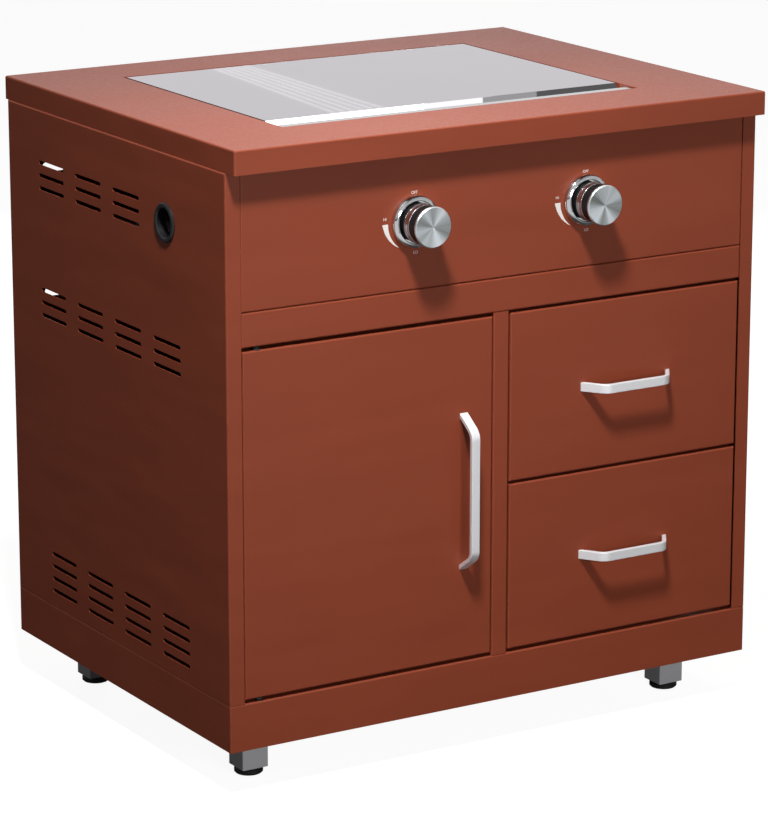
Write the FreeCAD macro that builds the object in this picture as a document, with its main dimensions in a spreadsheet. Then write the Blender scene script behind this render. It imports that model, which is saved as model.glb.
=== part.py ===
import FreeCAD, Part
import Sketcher
import math
import os
import re

# Outdoor gas stove: a folded sheet-steel cabinet with a covered two-burner hob,
# a door bay on the left and two drawers on the right. All sizes are millimetres.
# X runs to the right, Y to the back and Z up, from the floor under the middle.

doc = FreeCAD.newDocument("outdoor_gas_stove")

# Driving sizes: name, value
SIZES = [
    # Cabinet
    ("cabinet_width", 850),
    ("cabinet_depth", 634),
    ("cabinet_height", 790),
    ("foot_height", 67),
    ("plinth_height", 66),
    ("plinth_flange", 26),
    ("sheet_steel", 1.5),
    ("thin_sheet", 1.2),
    ("edge_round", 2.4),
    ("fit_gap", 0.4),
    ("floor_gap", 2),
    # How far a cutting tool runs past the face that it opens
    ("overshoot", 1),
    # Front frame
    ("stile_width", 22),
    ("centre_stile_width", 25),
    ("centre_stile_depth", 36),
    ("door_bay_width", 393),
    ("control_panel_height", 188),
    ("panel_flange", 20),
    ("rail_height", 47),
    ("rail_flange", 25),
    # Worktop and its cut-out
    ("worktop_thickness", 33),
    ("worktop_round", 2.5),
    ("overhang_front", 23),
    ("overhang_side", -1.5),
    ("overhang_back", 10),
    ("seat_return", 60),
    ("front_border", 114),
    ("side_border", 137),
    ("back_border", 100),
    ("cutout_return", 16),
    # Lid and tray
    ("lid_gap", 3.5),
    ("finger_gap", 45),
    ("lid_skirt", 9),
    ("lid_nose", 6.5),
    ("lid_bend", 1.6),
    ("lid_hinge_inset", 12),
    ("lid_hinge_drop", 4.8),
    ("lid_pin_radius", 2.5),
    ("lid_pin_grip", 3),
    ("lid_pin_head", 3.1),
    ("lid_pin_head_length", 3),
    ("lid_rest_gap", 0.3),
    ("tray_sheet", 1),
    ("tray_gap", 1),
    ("tray_rise", 20),
    ("ledge_drop", 10.5),
    ("front_ledge", 50),
    ("side_ledge", 10.5),
    ("lip_depth", 22.5),
    ("lip_drop", 2),
    ("hinge_clear", 55),
    ("bumper_radius", 4),
    ("bumper_front_inset", 40),
    ("bumper_back_inset", 20),
    # Vent slots
    ("slot_margin", 111),
    ("slot_bridge", 36),
    ("slot_shift", 15),
    ("slot_height", 6),
    ("slot_row_pitch", 18.3),
    ("hob_slots_drop", 111),
    ("middle_slots_drop", 294.4),
    ("foot_slots_lift", 24),
    ("vent_margin", 40),
    ("vent_height", 14),
    ("upper_vents_drop", 103),
    ("lower_vents_drop", 286),
    # Hose grommet
    ("grommet_bore", 20),
    ("grommet_neck", 23.5),
    ("grommet_rim", 27),
    ("grommet_proud", 3),
    ("grommet_bevel", 1.5),
    ("grommet_barb", 1.5),
    ("grommet_barb_length", 1),
    ("grommet_lead", 0.5),
    ("grommet_reach", 12),
    # Knobs and gas parts
    ("knob_proud", 49),
    ("knob_face_radius", 28),
    ("knob_body_radius", 26.5),
    ("knob_face_depth", 5),
    ("knob_clear", 3),
    ("knob_wall", 2.5),
    ("knob_crown", 6),
    ("knob_hub_wall", 6),
    ("face_back_bevel", 0.8),
    ("face_bevel", 1.4),
    ("face_dish", 1.2),
    ("knob_push", 3),
    ("bezel_radius", 36),
    ("bezel_bore", 28.7),
    ("bezel_height", 10),
    ("bezel_edge", 4),
    ("bezel_bevel", 1),
    ("bezel_base", 1.5),
    ("stem_radius", 4),
    ("running_gap", 0.08),
    ("stem_back", 45),
    ("stem_front", 30),
    ("stem_chamfer", 1),
    ("stem_end_gap", 0.3),
    ("stem_end_room", 2),
    ("collar_radius", 9),
    ("collar_thickness", 4),
    ("collar_gap", 1),
    ("collar_room", 4),
    ("valve_radius", 14),
    ("valve_back", 62),
    ("valve_neck_radius", 8),
    ("jet_radius", 5),
    ("jet_length", 9),
    ("jet_gap", 1),
    ("manifold_back", 45),
    ("manifold_drop", 32),
    ("manifold_radius", 9),
    ("manifold_bore", 7),
    ("manifold_bend", 15),
    ("manifold_overrun", 27),
    ("inlet_setback", 62),
    ("inlet_radius", 8),
    ("inlet_length", 18),
    ("inlet_bore", 5),
    ("inlet_socket", 3),
    ("inlet_nut_radius", 13),
    ("inlet_nut_length", 12),
    ("inlet_nut_chamfer", 1),
    ("tube_radius", 11),
    ("tube_wall", 1.5),
    ("throat_radius", 13),
    ("throat_top", 8),
    ("burner_radius", 44),
    ("burner_height", 30),
    ("burner_foot_inset", 6),
    ("burner_foot_height", 8),
    ("burner_edge", 4),
    ("burner_rim", 12),
    ("burner_taper", 2),
    ("burner_floor", 14),
    ("port_width", 3),
    ("port_depth", 4),
    ("cap_radius", 40),
    ("cap_height", 13),
    ("cap_edge", 5),
    ("cap_shoulder", 5),
    ("cap_crown", 2),
    ("cap_lip_radius", 30),
    ("cap_lip_wall", 2),
    ("cap_lip_depth", 5),
    ("igniter_offset", 52),
    ("igniter_radius", 3.5),
    ("igniter_below", 8),
    ("igniter_sleeve", 20),
    ("igniter_cone", 2),
    ("igniter_wire", 1.2),
    ("igniter_tip", 34),
    ("support_gap", 19),
    ("support_end_gap", 62),
    ("support_headroom", 21),
    ("support_bar", 9),
    ("support_eye", 34),
    # Door and drawers
    ("front_depth", 20),
    ("door_gap", 1.6),
    ("door_end_gap", 5),
    ("pivot_inset", 24),
    ("pivot_back", 7),
    ("pivot_radius", 3),
    ("pivot_reach", 13),
    ("bush_radius", 5),
    ("bush_flange", 2.2),
    ("bush_rim", 1.5),
    ("pin_end_gap", 1),
    ("catch_width", 16),
    ("catch_depth", 14),
    ("catch_height", 42),
    ("catch_gap", 1),
    ("drawer_gap", 2.4),
    ("drawer_foot_gap", 5),
    ("drawer_head_gap", 4),
    ("drawer_split", 4),
    ("drawer_back_room", 134),
    ("drawer_box_lift", 22),
    ("drawer_box_headroom", 56),
    # Runners
    ("runner_thickness", 13),
    ("runner_height", 44),
    ("runner_shortfall", 10),
    ("runner_setback", 2.2),
    ("runner_step", 1),
    ("runner_middle_short", 1.5),
    ("runner_fixed_short", 2.5),
    ("runner_sheet", 1.2),
    ("runner_lift", 60),
    # Handles
    ("handle_width", 13),
    ("handle_bar", 6),
    ("handle_standoff", 32),
    ("handle_slant", 22),
    ("handle_bend", 20),
    ("handle_edge", 1),
    ("door_handle_length", 222),
    ("drawer_handle_length", 150),
    ("door_handle_inset", 46),
    ("screw_radius", 1.5),
    ("screw_hole", 1.8),
    ("screw_head", 5),
    ("screw_head_height", 3),
    ("screw_head_edge", 1),
    ("screw_head_slope", 2),
    ("screw_reach", 4.5),
    ("screw_end_gap", 1),
    # Back panel screws
    ("panel_screw_radius", 2),
    ("panel_screw_length", 6),
    ("recess_length", 4.4),
    ("recess_width", 1.2),
    ("recess_depth", 1.6),
    # Legs and feet
    ("leg_width", 40),
    ("leg_wall", 2),
    ("leg_plate", 3),
    ("leg_side_inset", 57),
    ("leg_end_inset", 69),
    ("pad_radius", 20),
    ("pad_height", 9.5),
    ("pad_gap", 0.5),
    ("pad_lower_edge", 2),
    ("pad_upper_edge", 3),
    ("stud_radius", 5),
    ("stud_top", 45),
    ("stud_chamfer", 1),
]

# Places worked out from the driving sizes: name, formula
LAYOUT = [
    ("half_width", "cabinet_width / 2"),
    ("front_y", "(knob_proud - cabinet_depth - overhang_back) / 2"),
    ("back_y", "front_y + cabinet_depth"),
    ("base_z", "foot_height"),
    ("deck_z", "base_z + plinth_height"),
    ("top_z", "base_z + cabinet_height"),
    ("worktop_z", "top_z + worktop_thickness"),
    ("panel_z", "top_z - control_panel_height"),
    ("rail_z", "panel_z - rail_height"),
    ("knob_z", "panel_z + control_panel_height / 2"),
    ("bay_left", "stile_width - half_width"),
    ("stile_left", "bay_left + door_bay_width"),
    ("stile_right", "stile_left + centre_stile_width"),
    ("bay_right", "half_width - stile_width"),
    ("cut_x", "half_width + overhang_side - side_border"),
    ("cut_front", "front_y - overhang_front + front_border"),
    ("cut_back", "back_y + overhang_back - back_border"),
    ("ledge_z", "worktop_z - ledge_drop"),
    ("tray_z", "knob_z + tray_rise"),
    ("tray_x", "cut_x - tray_gap"),
    ("tray_front", "cut_front + tray_gap"),
    ("tray_back", "cut_back - tray_gap"),
    ("mouth_x", "tray_x - side_ledge"),
    ("knob_x", "mouth_x / 2"),
    ("lid_x", "cut_x - lid_gap"),
    ("lid_front", "cut_front + finger_gap"),
    ("lid_back", "cut_back - lid_gap"),
    ("lid_pivot_y", "lid_back - lid_hinge_inset"),
    ("lid_pivot_z", "worktop_z - lid_hinge_drop"),
    ("burner_y", "(cut_front + cut_back) / 2"),
    ("support_width", "mouth_x - support_gap"),
    ("support_depth", "cut_back - cut_front - 2 * support_end_gap"),
    ("support_top", "worktop_z - support_headroom"),
    ("floor_front", "front_y + front_depth + floor_gap"),
    ("slot_length", "(cabinet_depth - 2 * slot_margin - 3 * slot_bridge) / 4"),
    ("slot_pitch", "slot_length + slot_bridge"),
    ("foot_slots_y", "front_y + slot_margin"),
    ("foot_slots_z", "deck_z + foot_slots_lift"),
    ("middle_slots_y", "foot_slots_y + slot_shift"),
    ("middle_slots_z", "top_z - middle_slots_drop"),
    ("hob_slots_y", "middle_slots_y + slot_pitch"),
    ("hob_slots_z", "top_z - hob_slots_drop"),
    ("upper_vents_z", "top_z - upper_vents_drop"),
    ("lower_vents_z", "top_z - lower_vents_drop"),
    ("grommet_y", "middle_slots_y + slot_length / 2"),
    ("manifold_y", "front_y + manifold_back"),
    ("manifold_z", "knob_z - manifold_drop"),
    ("inlet_x", "inlet_setback - half_width"),
    ("door_x0", "bay_left + door_gap"),
    ("door_x1", "stile_left - door_gap"),
    ("door_z0", "deck_z + door_end_gap"),
    ("door_z1", "rail_z - door_end_gap"),
    ("pivot_x", "door_x0 + pivot_inset"),
    ("pivot_y", "front_y + pivot_back"),
    ("drawer_x0", "stile_right + drawer_gap"),
    ("drawer_x1", "bay_right - drawer_gap"),
    ("drawer_tall", "(rail_z - deck_z - drawer_foot_gap - drawer_head_gap - drawer_split) / 2"),
    ("lower_z", "deck_z + drawer_foot_gap"),
    ("upper_z", "lower_z + drawer_tall + drawer_split"),
    ("drawer_box_depth", "cabinet_depth - drawer_back_room"),
    ("drawer_box_height", "drawer_tall - drawer_box_lift - drawer_box_headroom"),
    ("runner_length", "drawer_box_depth - runner_shortfall"),
    ("front_back_y", "front_y + front_depth"),
    ("runner_x0", "stile_right"),
    ("runner_x1", "bay_right"),
    ("box_x0", "runner_x0 + runner_thickness"),
    ("box_x1", "runner_x1 - runner_thickness"),
    ("leg_x", "half_width - leg_side_inset - leg_width / 2"),
    ("leg_front", "front_y + leg_end_inset + leg_width / 2"),
    ("leg_back", "back_y - leg_end_inset - leg_width / 2"),
    ("leg_z", "pad_height + pad_gap"),
    ("handle_inner_bend", "handle_bend - handle_bar"),
    ("handle_leg", "(handle_standoff ^ 2 + handle_slant ^ 2) ^ 0.5"),
    ("handle_foot", "handle_bar * handle_leg / handle_standoff"),
    ("handle_corner", "handle_slant + handle_bar * (handle_leg - handle_slant) / handle_standoff"),
    ("handle_screw_inset", "(handle_foot + screw_reach * handle_slant / handle_standoff) / 2"),
    ("door_handle_x", "door_x1 - door_handle_inset"),
    ("door_handle_z", "(door_z0 + door_z1) / 2"),
    ("drawer_handle_x", "(drawer_x0 + drawer_x1) / 2"),
    ("lower_handle_z", "lower_z + drawer_tall / 2"),
    ("upper_handle_z", "upper_z + drawer_tall / 2"),
    # At 45 degrees a slope this much smaller keeps the wall even: 2 less the root of 2 times the wall
    ("lid_inner_nose", "lid_nose - 0.586 * thin_sheet"),
    ("stem_hole", "collar_radius + collar_gap"),
    ("collar_front", "-sheet_steel - collar_gap"),
    ("collar_back", "collar_front - collar_thickness"),
    ("knob_back", "knob_push + knob_clear"),
    ("knob_front", "knob_proud - knob_face_depth"),
    ("tube_front", "front_y + valve_back + jet_length + jet_gap"),
]

sheet_of = {}


def full(text):
    """The expression with each size or place given the sheet that holds it."""
    return re.sub(r"[a-z_][a-z_0-9]*", lambda word: sheet_of[word.group(0)] + "." + word.group(0), text)


def fill_sheet(title, rows):
    """A sheet with one named cell for each row."""
    sheet = doc.addObject("Spreadsheet::Sheet", title)
    for number, (name, content) in enumerate(rows, start=1):
        sheet.set("A%d" % number, name)
        if isinstance(content, str):
            sheet.set("B%d" % number, "=" + full(content))
        else:
            sheet.set("B%d" % number, str(content))
        sheet.setAlias("B%d" % number, name)
        sheet_of[name] = title
        doc.recompute()
    return sheet


sizes = fill_sheet("Sizes", SIZES)
layout = fill_sheet("Layout", LAYOUT)


def value(name):
    """The number that a size or place has now."""
    return float(getattr(sizes if sheet_of[name] == "Sizes" else layout, name))


nodes = {}


def node(name, piece):
    """Marks a finished piece of the stove: its label is its file's name."""
    piece.Label = name
    nodes[name] = piece
    return piece


def place(piece, x, y, z):
    """Binds where a piece stands."""
    for axis, text in zip("xyz", (x, y, z)):
        piece.setExpression("Placement.Base." + axis, full(text))


def box(name, x, y, z):
    """A block between two low and high faces each way."""
    block = doc.addObject("Part::Box", name)
    for side, (low, high) in zip(("Length", "Width", "Height"), (x, y, z)):
        block.setExpression(side, full("(%s) - (%s)" % (high, low)))
    place(block, x[0], y[0], z[0])
    return block


TURNS = {
    "up": FreeCAD.Rotation(),
    "front": FreeCAD.Rotation(FreeCAD.Vector(1, 0, 0), 90),
    "back": FreeCAD.Rotation(FreeCAD.Vector(1, 0, 0), -90),
    "left": FreeCAD.Rotation(FreeCAD.Vector(0, 1, 0), -90),
    "right": FreeCAD.Rotation(FreeCAD.Vector(0, 1, 0), 90),
}


def rod(name, radius, length, start, way="up"):
    """A round bar from its start point."""
    bar = doc.addObject("Part::Cylinder", name)
    bar.setExpression("Radius", full(radius))
    bar.setExpression("Height", full(length))
    bar.Placement = FreeCAD.Placement(FreeCAD.Vector(), TURNS[way])
    place(bar, *start)
    return bar


def fuse(name, pieces):
    """One solid from touching pieces."""
    joined = doc.addObject("Part::MultiFuse", name)
    joined.Shapes = pieces
    joined.Refine = True
    return joined


def cut(name, base, tools):
    """The base with every tool taken out of it."""
    whole = tools[0]
    if len(tools) > 1:
        whole = doc.addObject("Part::Compound", name + "_tools")
        whole.Links = tools
    result = doc.addObject("Part::Cut", name)
    result.Base = base
    result.Tool = whole
    return result


def group(name, pieces):
    """Separate solids kept together as one node."""
    bundle = doc.addObject("Part::Compound", name)
    bundle.Links = pieces
    return node(name, bundle)


# Points closer than this are the same point
NEAR = 1e-6


def rounded(name, base, radius, picks, kind="Part::Fillet"):
    """Rounds or slopes straight edges. A pick is the axis they run along and the sides they lie on."""
    doc.recompute()
    limits = base.Shape.BoundBox
    picked = []
    for number, edge in enumerate(base.Shape.Edges, start=1):
        first, last = [vertex.Point for vertex in edge.Vertexes]
        for along, sides in picks:
            straight = all(abs(getattr(last - first, axis)) < NEAR for axis in "xyz" if axis != along)
            offsets = []
            for axis, end in sides:
                face = getattr(limits, axis.upper() + ("Min" if end == "0" else "Max"))
                offsets.append(abs(getattr(first, axis) - face))
            if straight and all(offset < NEAR for offset in offsets):
                picked.append((number, value(radius), value(radius)))
    soft = doc.addObject(kind, name)
    soft.Base = base
    soft.Edges = picked
    return soft


def soft_front(name, base, radius="edge_round"):
    """A block with its four front edges rounded, as folded sheet is."""
    return rounded(name, base, radius, [("z", ["y0"]), ("x", ["y0"])])


def inside(name, x, y, z, wall, open_sides):
    """The hollow of a folded pan: it runs out past each open side."""
    spans = []
    for axis, (low, high) in zip("xyz", (x, y, z)):
        low_wall = low + " - overshoot" if axis + "0" in open_sides else "%s + %s" % (low, wall)
        high_wall = high + " + overshoot" if axis + "1" in open_sides else "%s - %s" % (high, wall)
        spans.append((low_wall, high_wall))
    return box(name, *spans)


# Where an outline's corners start before its constraints are solved
START_X = 30
START_RING = 10


def turned(name, outline, spot, way="up"):
    """A turned piece from its outline of radius and height."""
    body = doc.addObject("PartDesign::Body", name)
    sketch = body.newObject("Sketcher::SketchObject", name + "_outline")
    plane = [part for part in body.Origin.OriginFeatures if part.Role == "XZ_Plane"][0]
    sketch.AttachmentSupport = [(plane, "")]
    sketch.MapMode = "FlatFace"
    count = len(outline)
    # The corners start evenly round a small ring, and the constraints carry them to their places.
    corners = []
    for number in range(count):
        angle = 2 * math.pi * number / count
        start_x = START_X + START_RING * math.cos(angle)
        corners.append(FreeCAD.Vector(start_x, START_RING * math.sin(angle), 0))
    sketch.addGeometry([Part.LineSegment(corners[i], corners[(i + 1) % count]) for i in range(count)])
    rules = [Sketcher.Constraint("Coincident", i, 2, (i + 1) % count, 1) for i in range(count)]
    bound = []
    for number, (radius, height) in enumerate(outline):
        if radius == "0":
            rules.append(Sketcher.Constraint("PointOnObject", number, 1, -2))
        else:
            rules.append(Sketcher.Constraint("DistanceX", -1, 1, number, 1, corners[number].x))
            bound.append((len(rules) - 1, "radius%d" % number, radius))
        rules.append(Sketcher.Constraint("DistanceY", -1, 1, number, 1, corners[number].y))
        bound.append((len(rules) - 1, "height%d" % number, height))
    sketch.addConstraint(rules)
    for index, title, text in bound:
        sketch.renameConstraint(index, title)
        sketch.setExpression("Constraints." + title, full(text))
    spin = body.newObject("PartDesign::Revolution", name + "_turn")
    spin.Profile = sketch
    spin.ReferenceAxis = (sketch, ["V_Axis"])
    spin.Angle = 360
    body.Tip = spin
    body.Placement = FreeCAD.Placement(FreeCAD.Vector(), TURNS[way])
    place(body, *spot)
    return body


def bent_path(points, bend):
    """A wire of straight runs with a tangent arc at each corner."""
    edges = []
    start = points[0]
    for before, corner, after in zip(points, points[1:], points[2:]):
        come = (corner - before).normalize()
        leave = (after - corner).normalize()
        reach = bend * math.tan(come.getAngle(leave) / 2)
        first = corner - come * reach
        last = corner + leave * reach
        inward = (leave - come).normalize()
        half = come.getAngle(leave) / 2
        middle = corner + inward * (bend / math.cos(half) - bend)
        if start.distanceToPoint(first) > NEAR:
            edges.append(Part.LineSegment(start, first).toShape())
        edges.append(Part.Arc(first, middle, last).toShape())
        start = last
    edges.append(Part.LineSegment(start, points[-1]).toShape())
    return Part.Wire(edges)


def slot_grid(name, face, first, rows, columns, height, depth):
    """Round-ended slots in rows, as one cutting tool. first is the low corner of the grid."""
    length = value("slot_length")
    radius = height / 2
    tools = []
    for row in range(rows):
        for column in range(columns):
            shift = column * value("slot_pitch")
            low = row * value("slot_row_pitch")
            corners = [
                FreeCAD.Vector(radius, -radius, 0),
                FreeCAD.Vector(length - radius, -radius, 0),
                FreeCAD.Vector(length - radius, radius, 0),
                FreeCAD.Vector(radius, radius, 0),
            ]
            right = Part.Arc(corners[1], FreeCAD.Vector(length, 0, 0), corners[2])
            left = Part.Arc(corners[3], FreeCAD.Vector(0, 0, 0), corners[0])
            wire = Part.Wire([
                Part.LineSegment(corners[0], corners[1]).toShape(),
                right.toShape(),
                Part.LineSegment(corners[2], corners[3]).toShape(),
                left.toShape(),
            ])
            solid = Part.Face(wire).extrude(FreeCAD.Vector(0, 0, depth))
            solid.Placement = FreeCAD.Placement(FreeCAD.Vector(shift, low, 0), FreeCAD.Rotation())
            tools.append(solid)
    grid = doc.addObject("Part::Feature", name)
    grid.Shape = Part.Compound(tools)
    grid.Placement = FreeCAD.Placement(first, face)
    return grid


# Slots are drawn flat and then stood up in the side or the back of the cabinet.
RIGHTWARD = FreeCAD.Vector(1, 0, 0)
BACKWARD = FreeCAD.Vector(0, 1, 0)
UPWARD = FreeCAD.Vector(0, 0, 1)
SIDE_FACE = FreeCAD.Rotation(BACKWARD, UPWARD, RIGHTWARD, "XYZ")
BACK_FACE = FreeCAD.Rotation(RIGHTWARD, UPWARD, -BACKWARD, "XYZ")

BOTH = (("left", "-"), ("right", ""))


def make_plinth():
    """The base frame: four skirts and a flange round the top."""
    x = ("-half_width", "half_width")
    y = ("front_y", "back_y")
    z = ("base_z", "deck_z")
    block = rounded("plinth_block", box("plinth_outer", x, y, z), "edge_round",
                    [("z", []), ("x", ["y0", "z1"]), ("y", ["x0", "z1"]), ("y", ["x1", "z1"])])
    hollow = inside("plinth_hollow", x, y, z, "sheet_steel", ["z0"])
    window = box(
        "plinth_window",
        ("plinth_flange - half_width", "half_width - plinth_flange"),
        ("front_y + plinth_flange", "back_y - plinth_flange"),
        ("deck_z - 2 * sheet_steel", "deck_z + overshoot"),
    )
    pin_hole = rod(
        "plinth_pin_hole", "pivot_radius + running_gap", "3 * sheet_steel",
        ("pivot_x", "pivot_y", "deck_z - 2 * sheet_steel"),
    )
    node("plinth", cut("plinth", block, [hollow, window, pin_hole]))


def make_bottom_panel():
    """The cabinet's floor, on the plinth's flange and the legs."""
    node("bottom_panel", box(
        "bottom_panel",
        ("sheet_steel - half_width", "half_width - sheet_steel"),
        ("floor_front", "back_y - sheet_steel"),
        ("deck_z", "deck_z + sheet_steel"),
    ))


# Heights of the back screws, as shares of the side panel's height
SCREW_SHARES = (0.08, 0.36, 0.64, 0.92)


def screw_spots(sign):
    """Where the back screws of one side stand: across and up."""
    across = "%s(half_width - stile_width / 2)" % sign
    return [(across, "deck_z + %s * (top_z - deck_z)" % share) for share in SCREW_SHARES]


def screw_holes(name, side, sign):
    """Clearance holes for the back screws of one side."""
    holes = []
    for number, (across, up) in enumerate(screw_spots(sign)):
        holes.append(rod("%s_screw_hole%d" % (name, number), "panel_screw_radius + running_gap",
                         "4 * sheet_steel", (across, "back_y + sheet_steel", up), "front"))
    return holes


# Slot groups of a side panel: name, rows, columns. The hose hole stands where the hob group has no column.
SIDE_SLOTS = [
    ("hob", 3, 3),
    ("middle", 3, 4),
    ("foot", 4, 4),
]


def make_side_panel(side, sign):
    """A side wall folded into the front stile and three narrow flanges."""
    outer = "%shalf_width" % sign
    inner = "%s(half_width - stile_width)" % sign
    x = (outer, inner) if sign else (inner, outer)
    open_side = "x1" if sign else "x0"
    wall_side = "x0" if sign else "x1"
    y = ("front_y", "back_y")
    z = ("deck_z", "top_z")
    name = side + "_side"
    block = rounded(name + "_block", box(name + "_outer", x, y, z), "edge_round",
                    [("z", [wall_side]), ("y", [wall_side, "z1"])])
    hollow = inside(name + "_hollow", x, y, z, "sheet_steel", [open_side, "z0"])
    tools = [hollow]
    wall_x = value("half_width") * (-1 if sign else 1)
    for title, rows, columns in SIDE_SLOTS:
        corner = FreeCAD.Vector(wall_x - 2 * value("sheet_steel"), value(title + "_slots_y"),
                                value(title + "_slots_z"))
        tools.append(slot_grid("%s_%s_slots" % (side, title), SIDE_FACE, corner, rows, columns,
                               value("slot_height"), 4 * value("sheet_steel")))
    if side == "left":
        tools.append(rod("grommet_hole", "grommet_neck + running_gap", "4 * sheet_steel",
                         ("2 * sheet_steel - half_width", "grommet_y", "knob_z"), "left"))
    tools += screw_holes(side + "_flange", side, sign)
    node(side + "_side_panel", cut(side + "_side_panel", block, tools))


def make_back_panel():
    """The back sheet with two rows of wide vents."""
    plate = box(
        "back_plate",
        ("sheet_steel + fit_gap - half_width", "half_width - sheet_steel - fit_gap"),
        ("back_y - 2 * sheet_steel", "back_y - sheet_steel"),
        ("deck_z + sheet_steel", "top_z - sheet_steel"),
    )
    vents = []
    room = value("cabinet_width") - 2 * value("vent_margin")
    columns = int((room + value("slot_bridge")) / value("slot_pitch"))
    start_x = -value("slot_pitch") * (columns - 1) / 2 - value("slot_length") / 2
    for title in ("upper", "lower"):
        corner = FreeCAD.Vector(start_x, value("back_y"), value(title + "_vents_z"))
        vents.append(slot_grid("back_%s_vents" % title, BACK_FACE, corner, 1, columns,
                               value("vent_height"), 4 * value("sheet_steel")))
    holes = [hole for side, sign in BOTH for hole in screw_holes(side + "_back", side, sign)]
    node("back_panel", cut("back_panel", plate, vents + holes))


def make_front_frame():
    """Control panel, middle rail, centre stile, partition and heat shield."""
    span = ("bay_left + fit_gap", "bay_right - fit_gap")
    y = ("front_y", "front_y + panel_flange")
    z = ("panel_z + fit_gap", "top_z - fit_gap")
    panel = soft_front("panel_block", box("panel_outer", span, y, z))
    tools = [inside("panel_hollow", span, y, z, "sheet_steel", ["y1"])]
    for side, sign in BOTH:
        tools.append(rod(side + "_panel_hole", "stem_hole", "3 * sheet_steel",
                         (sign + "knob_x", "front_y + 2 * sheet_steel", "knob_z"), "front"))
    node("control_panel", cut("control_panel", panel, tools))

    y = ("front_y", "front_y + rail_flange")
    z = ("rail_z", "panel_z")
    rail = soft_front("rail_block", box("rail_outer", span, y, z))
    hollow = inside("rail_hollow", span, y, z, "sheet_steel", ["y1"])
    pin_hole = rod("rail_pin_hole", "pivot_radius + running_gap", "3 * sheet_steel",
                   ("pivot_x", "pivot_y", "rail_z - sheet_steel"))
    node("middle_rail", cut("middle_rail", rail, [hollow, pin_hole]))

    x = ("stile_left", "stile_right")
    y = ("front_y", "front_y + centre_stile_depth")
    z = ("deck_z", "rail_z")
    stile = rounded("stile_block", box("stile_outer", x, y, z), "edge_round", [("z", ["y0"])])
    floor_notch = box("stile_notch", ("stile_left - overshoot", "stile_right + overshoot"),
                      ("floor_front", "front_y + centre_stile_depth + overshoot"),
                      ("deck_z - overshoot", "deck_z + sheet_steel"))
    hollow = inside("stile_hollow", x, y, z, "sheet_steel", ["y1", "z0", "z1"])
    node("centre_stile", cut("centre_stile", stile, [hollow, floor_notch]))

    node("partition", box(
        "partition", ("stile_right - sheet_steel", "stile_right"),
        ("front_y + centre_stile_depth", "back_y - 2 * sheet_steel"),
        ("deck_z + sheet_steel", "panel_z"),
    ))
    node("heat_shield", box(
        "heat_shield", ("sheet_steel - half_width", "half_width - sheet_steel"),
        ("front_y + panel_flange + fit_gap", "back_y - 2 * sheet_steel"),
        ("panel_z", "panel_z + sheet_steel"),
    ))


def make_worktop():
    """A hollow folded slab: skirts, a seat return below and a flanged cut-out."""
    x = ("-half_width - overhang_side", "half_width + overhang_side")
    y = ("front_y - overhang_front", "back_y + overhang_back")
    z = ("top_z", "worktop_z")
    slab = rounded("slab_block", box("slab_outer", x, y, z), "worktop_round",
                   [("z", []), ("x", ["z1"]), ("y", ["z1"])])

    def ring(name, grow_out, grow_in, low, high):
        whole = box(name + "_outer",
                    ("%s + %s" % (x[0], grow_out), "%s - (%s)" % (x[1], grow_out)),
                    ("%s + %s" % (y[0], grow_out), "%s - (%s)" % (y[1], grow_out)), (low, high))
        core = box(name + "_core",
                   ("-cut_x - (%s)" % grow_in, "cut_x + %s" % grow_in),
                   ("cut_front - (%s)" % grow_in, "cut_back + %s" % grow_in),
                   ("(%s) - overshoot" % low, "(%s) + overshoot" % high))
        return cut(name, whole, [core])

    opening = box("cutout", ("-cut_x", "cut_x"), ("cut_front", "cut_back"),
                  ("top_z - overshoot", "worktop_z + overshoot"))
    hollow = ring("slab_hollow", "sheet_steel", "sheet_steel",
                  "top_z + sheet_steel", "worktop_z - sheet_steel")
    below = ring("slab_below", "seat_return", "cutout_return",
                 "top_z - overshoot", "top_z + 2 * sheet_steel")
    tools = [opening, hollow, below]
    for side, sign in BOTH:
        way = "left" if sign else "right"
        tools.append(rod(side + "_lid_pin_hole", "lid_pin_radius + running_gap", "3 * sheet_steel",
                         (sign + "(cut_x - sheet_steel)", "lid_pivot_y", "lid_pivot_z"), way))
    node("worktop", cut("worktop", slab, tools))


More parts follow.
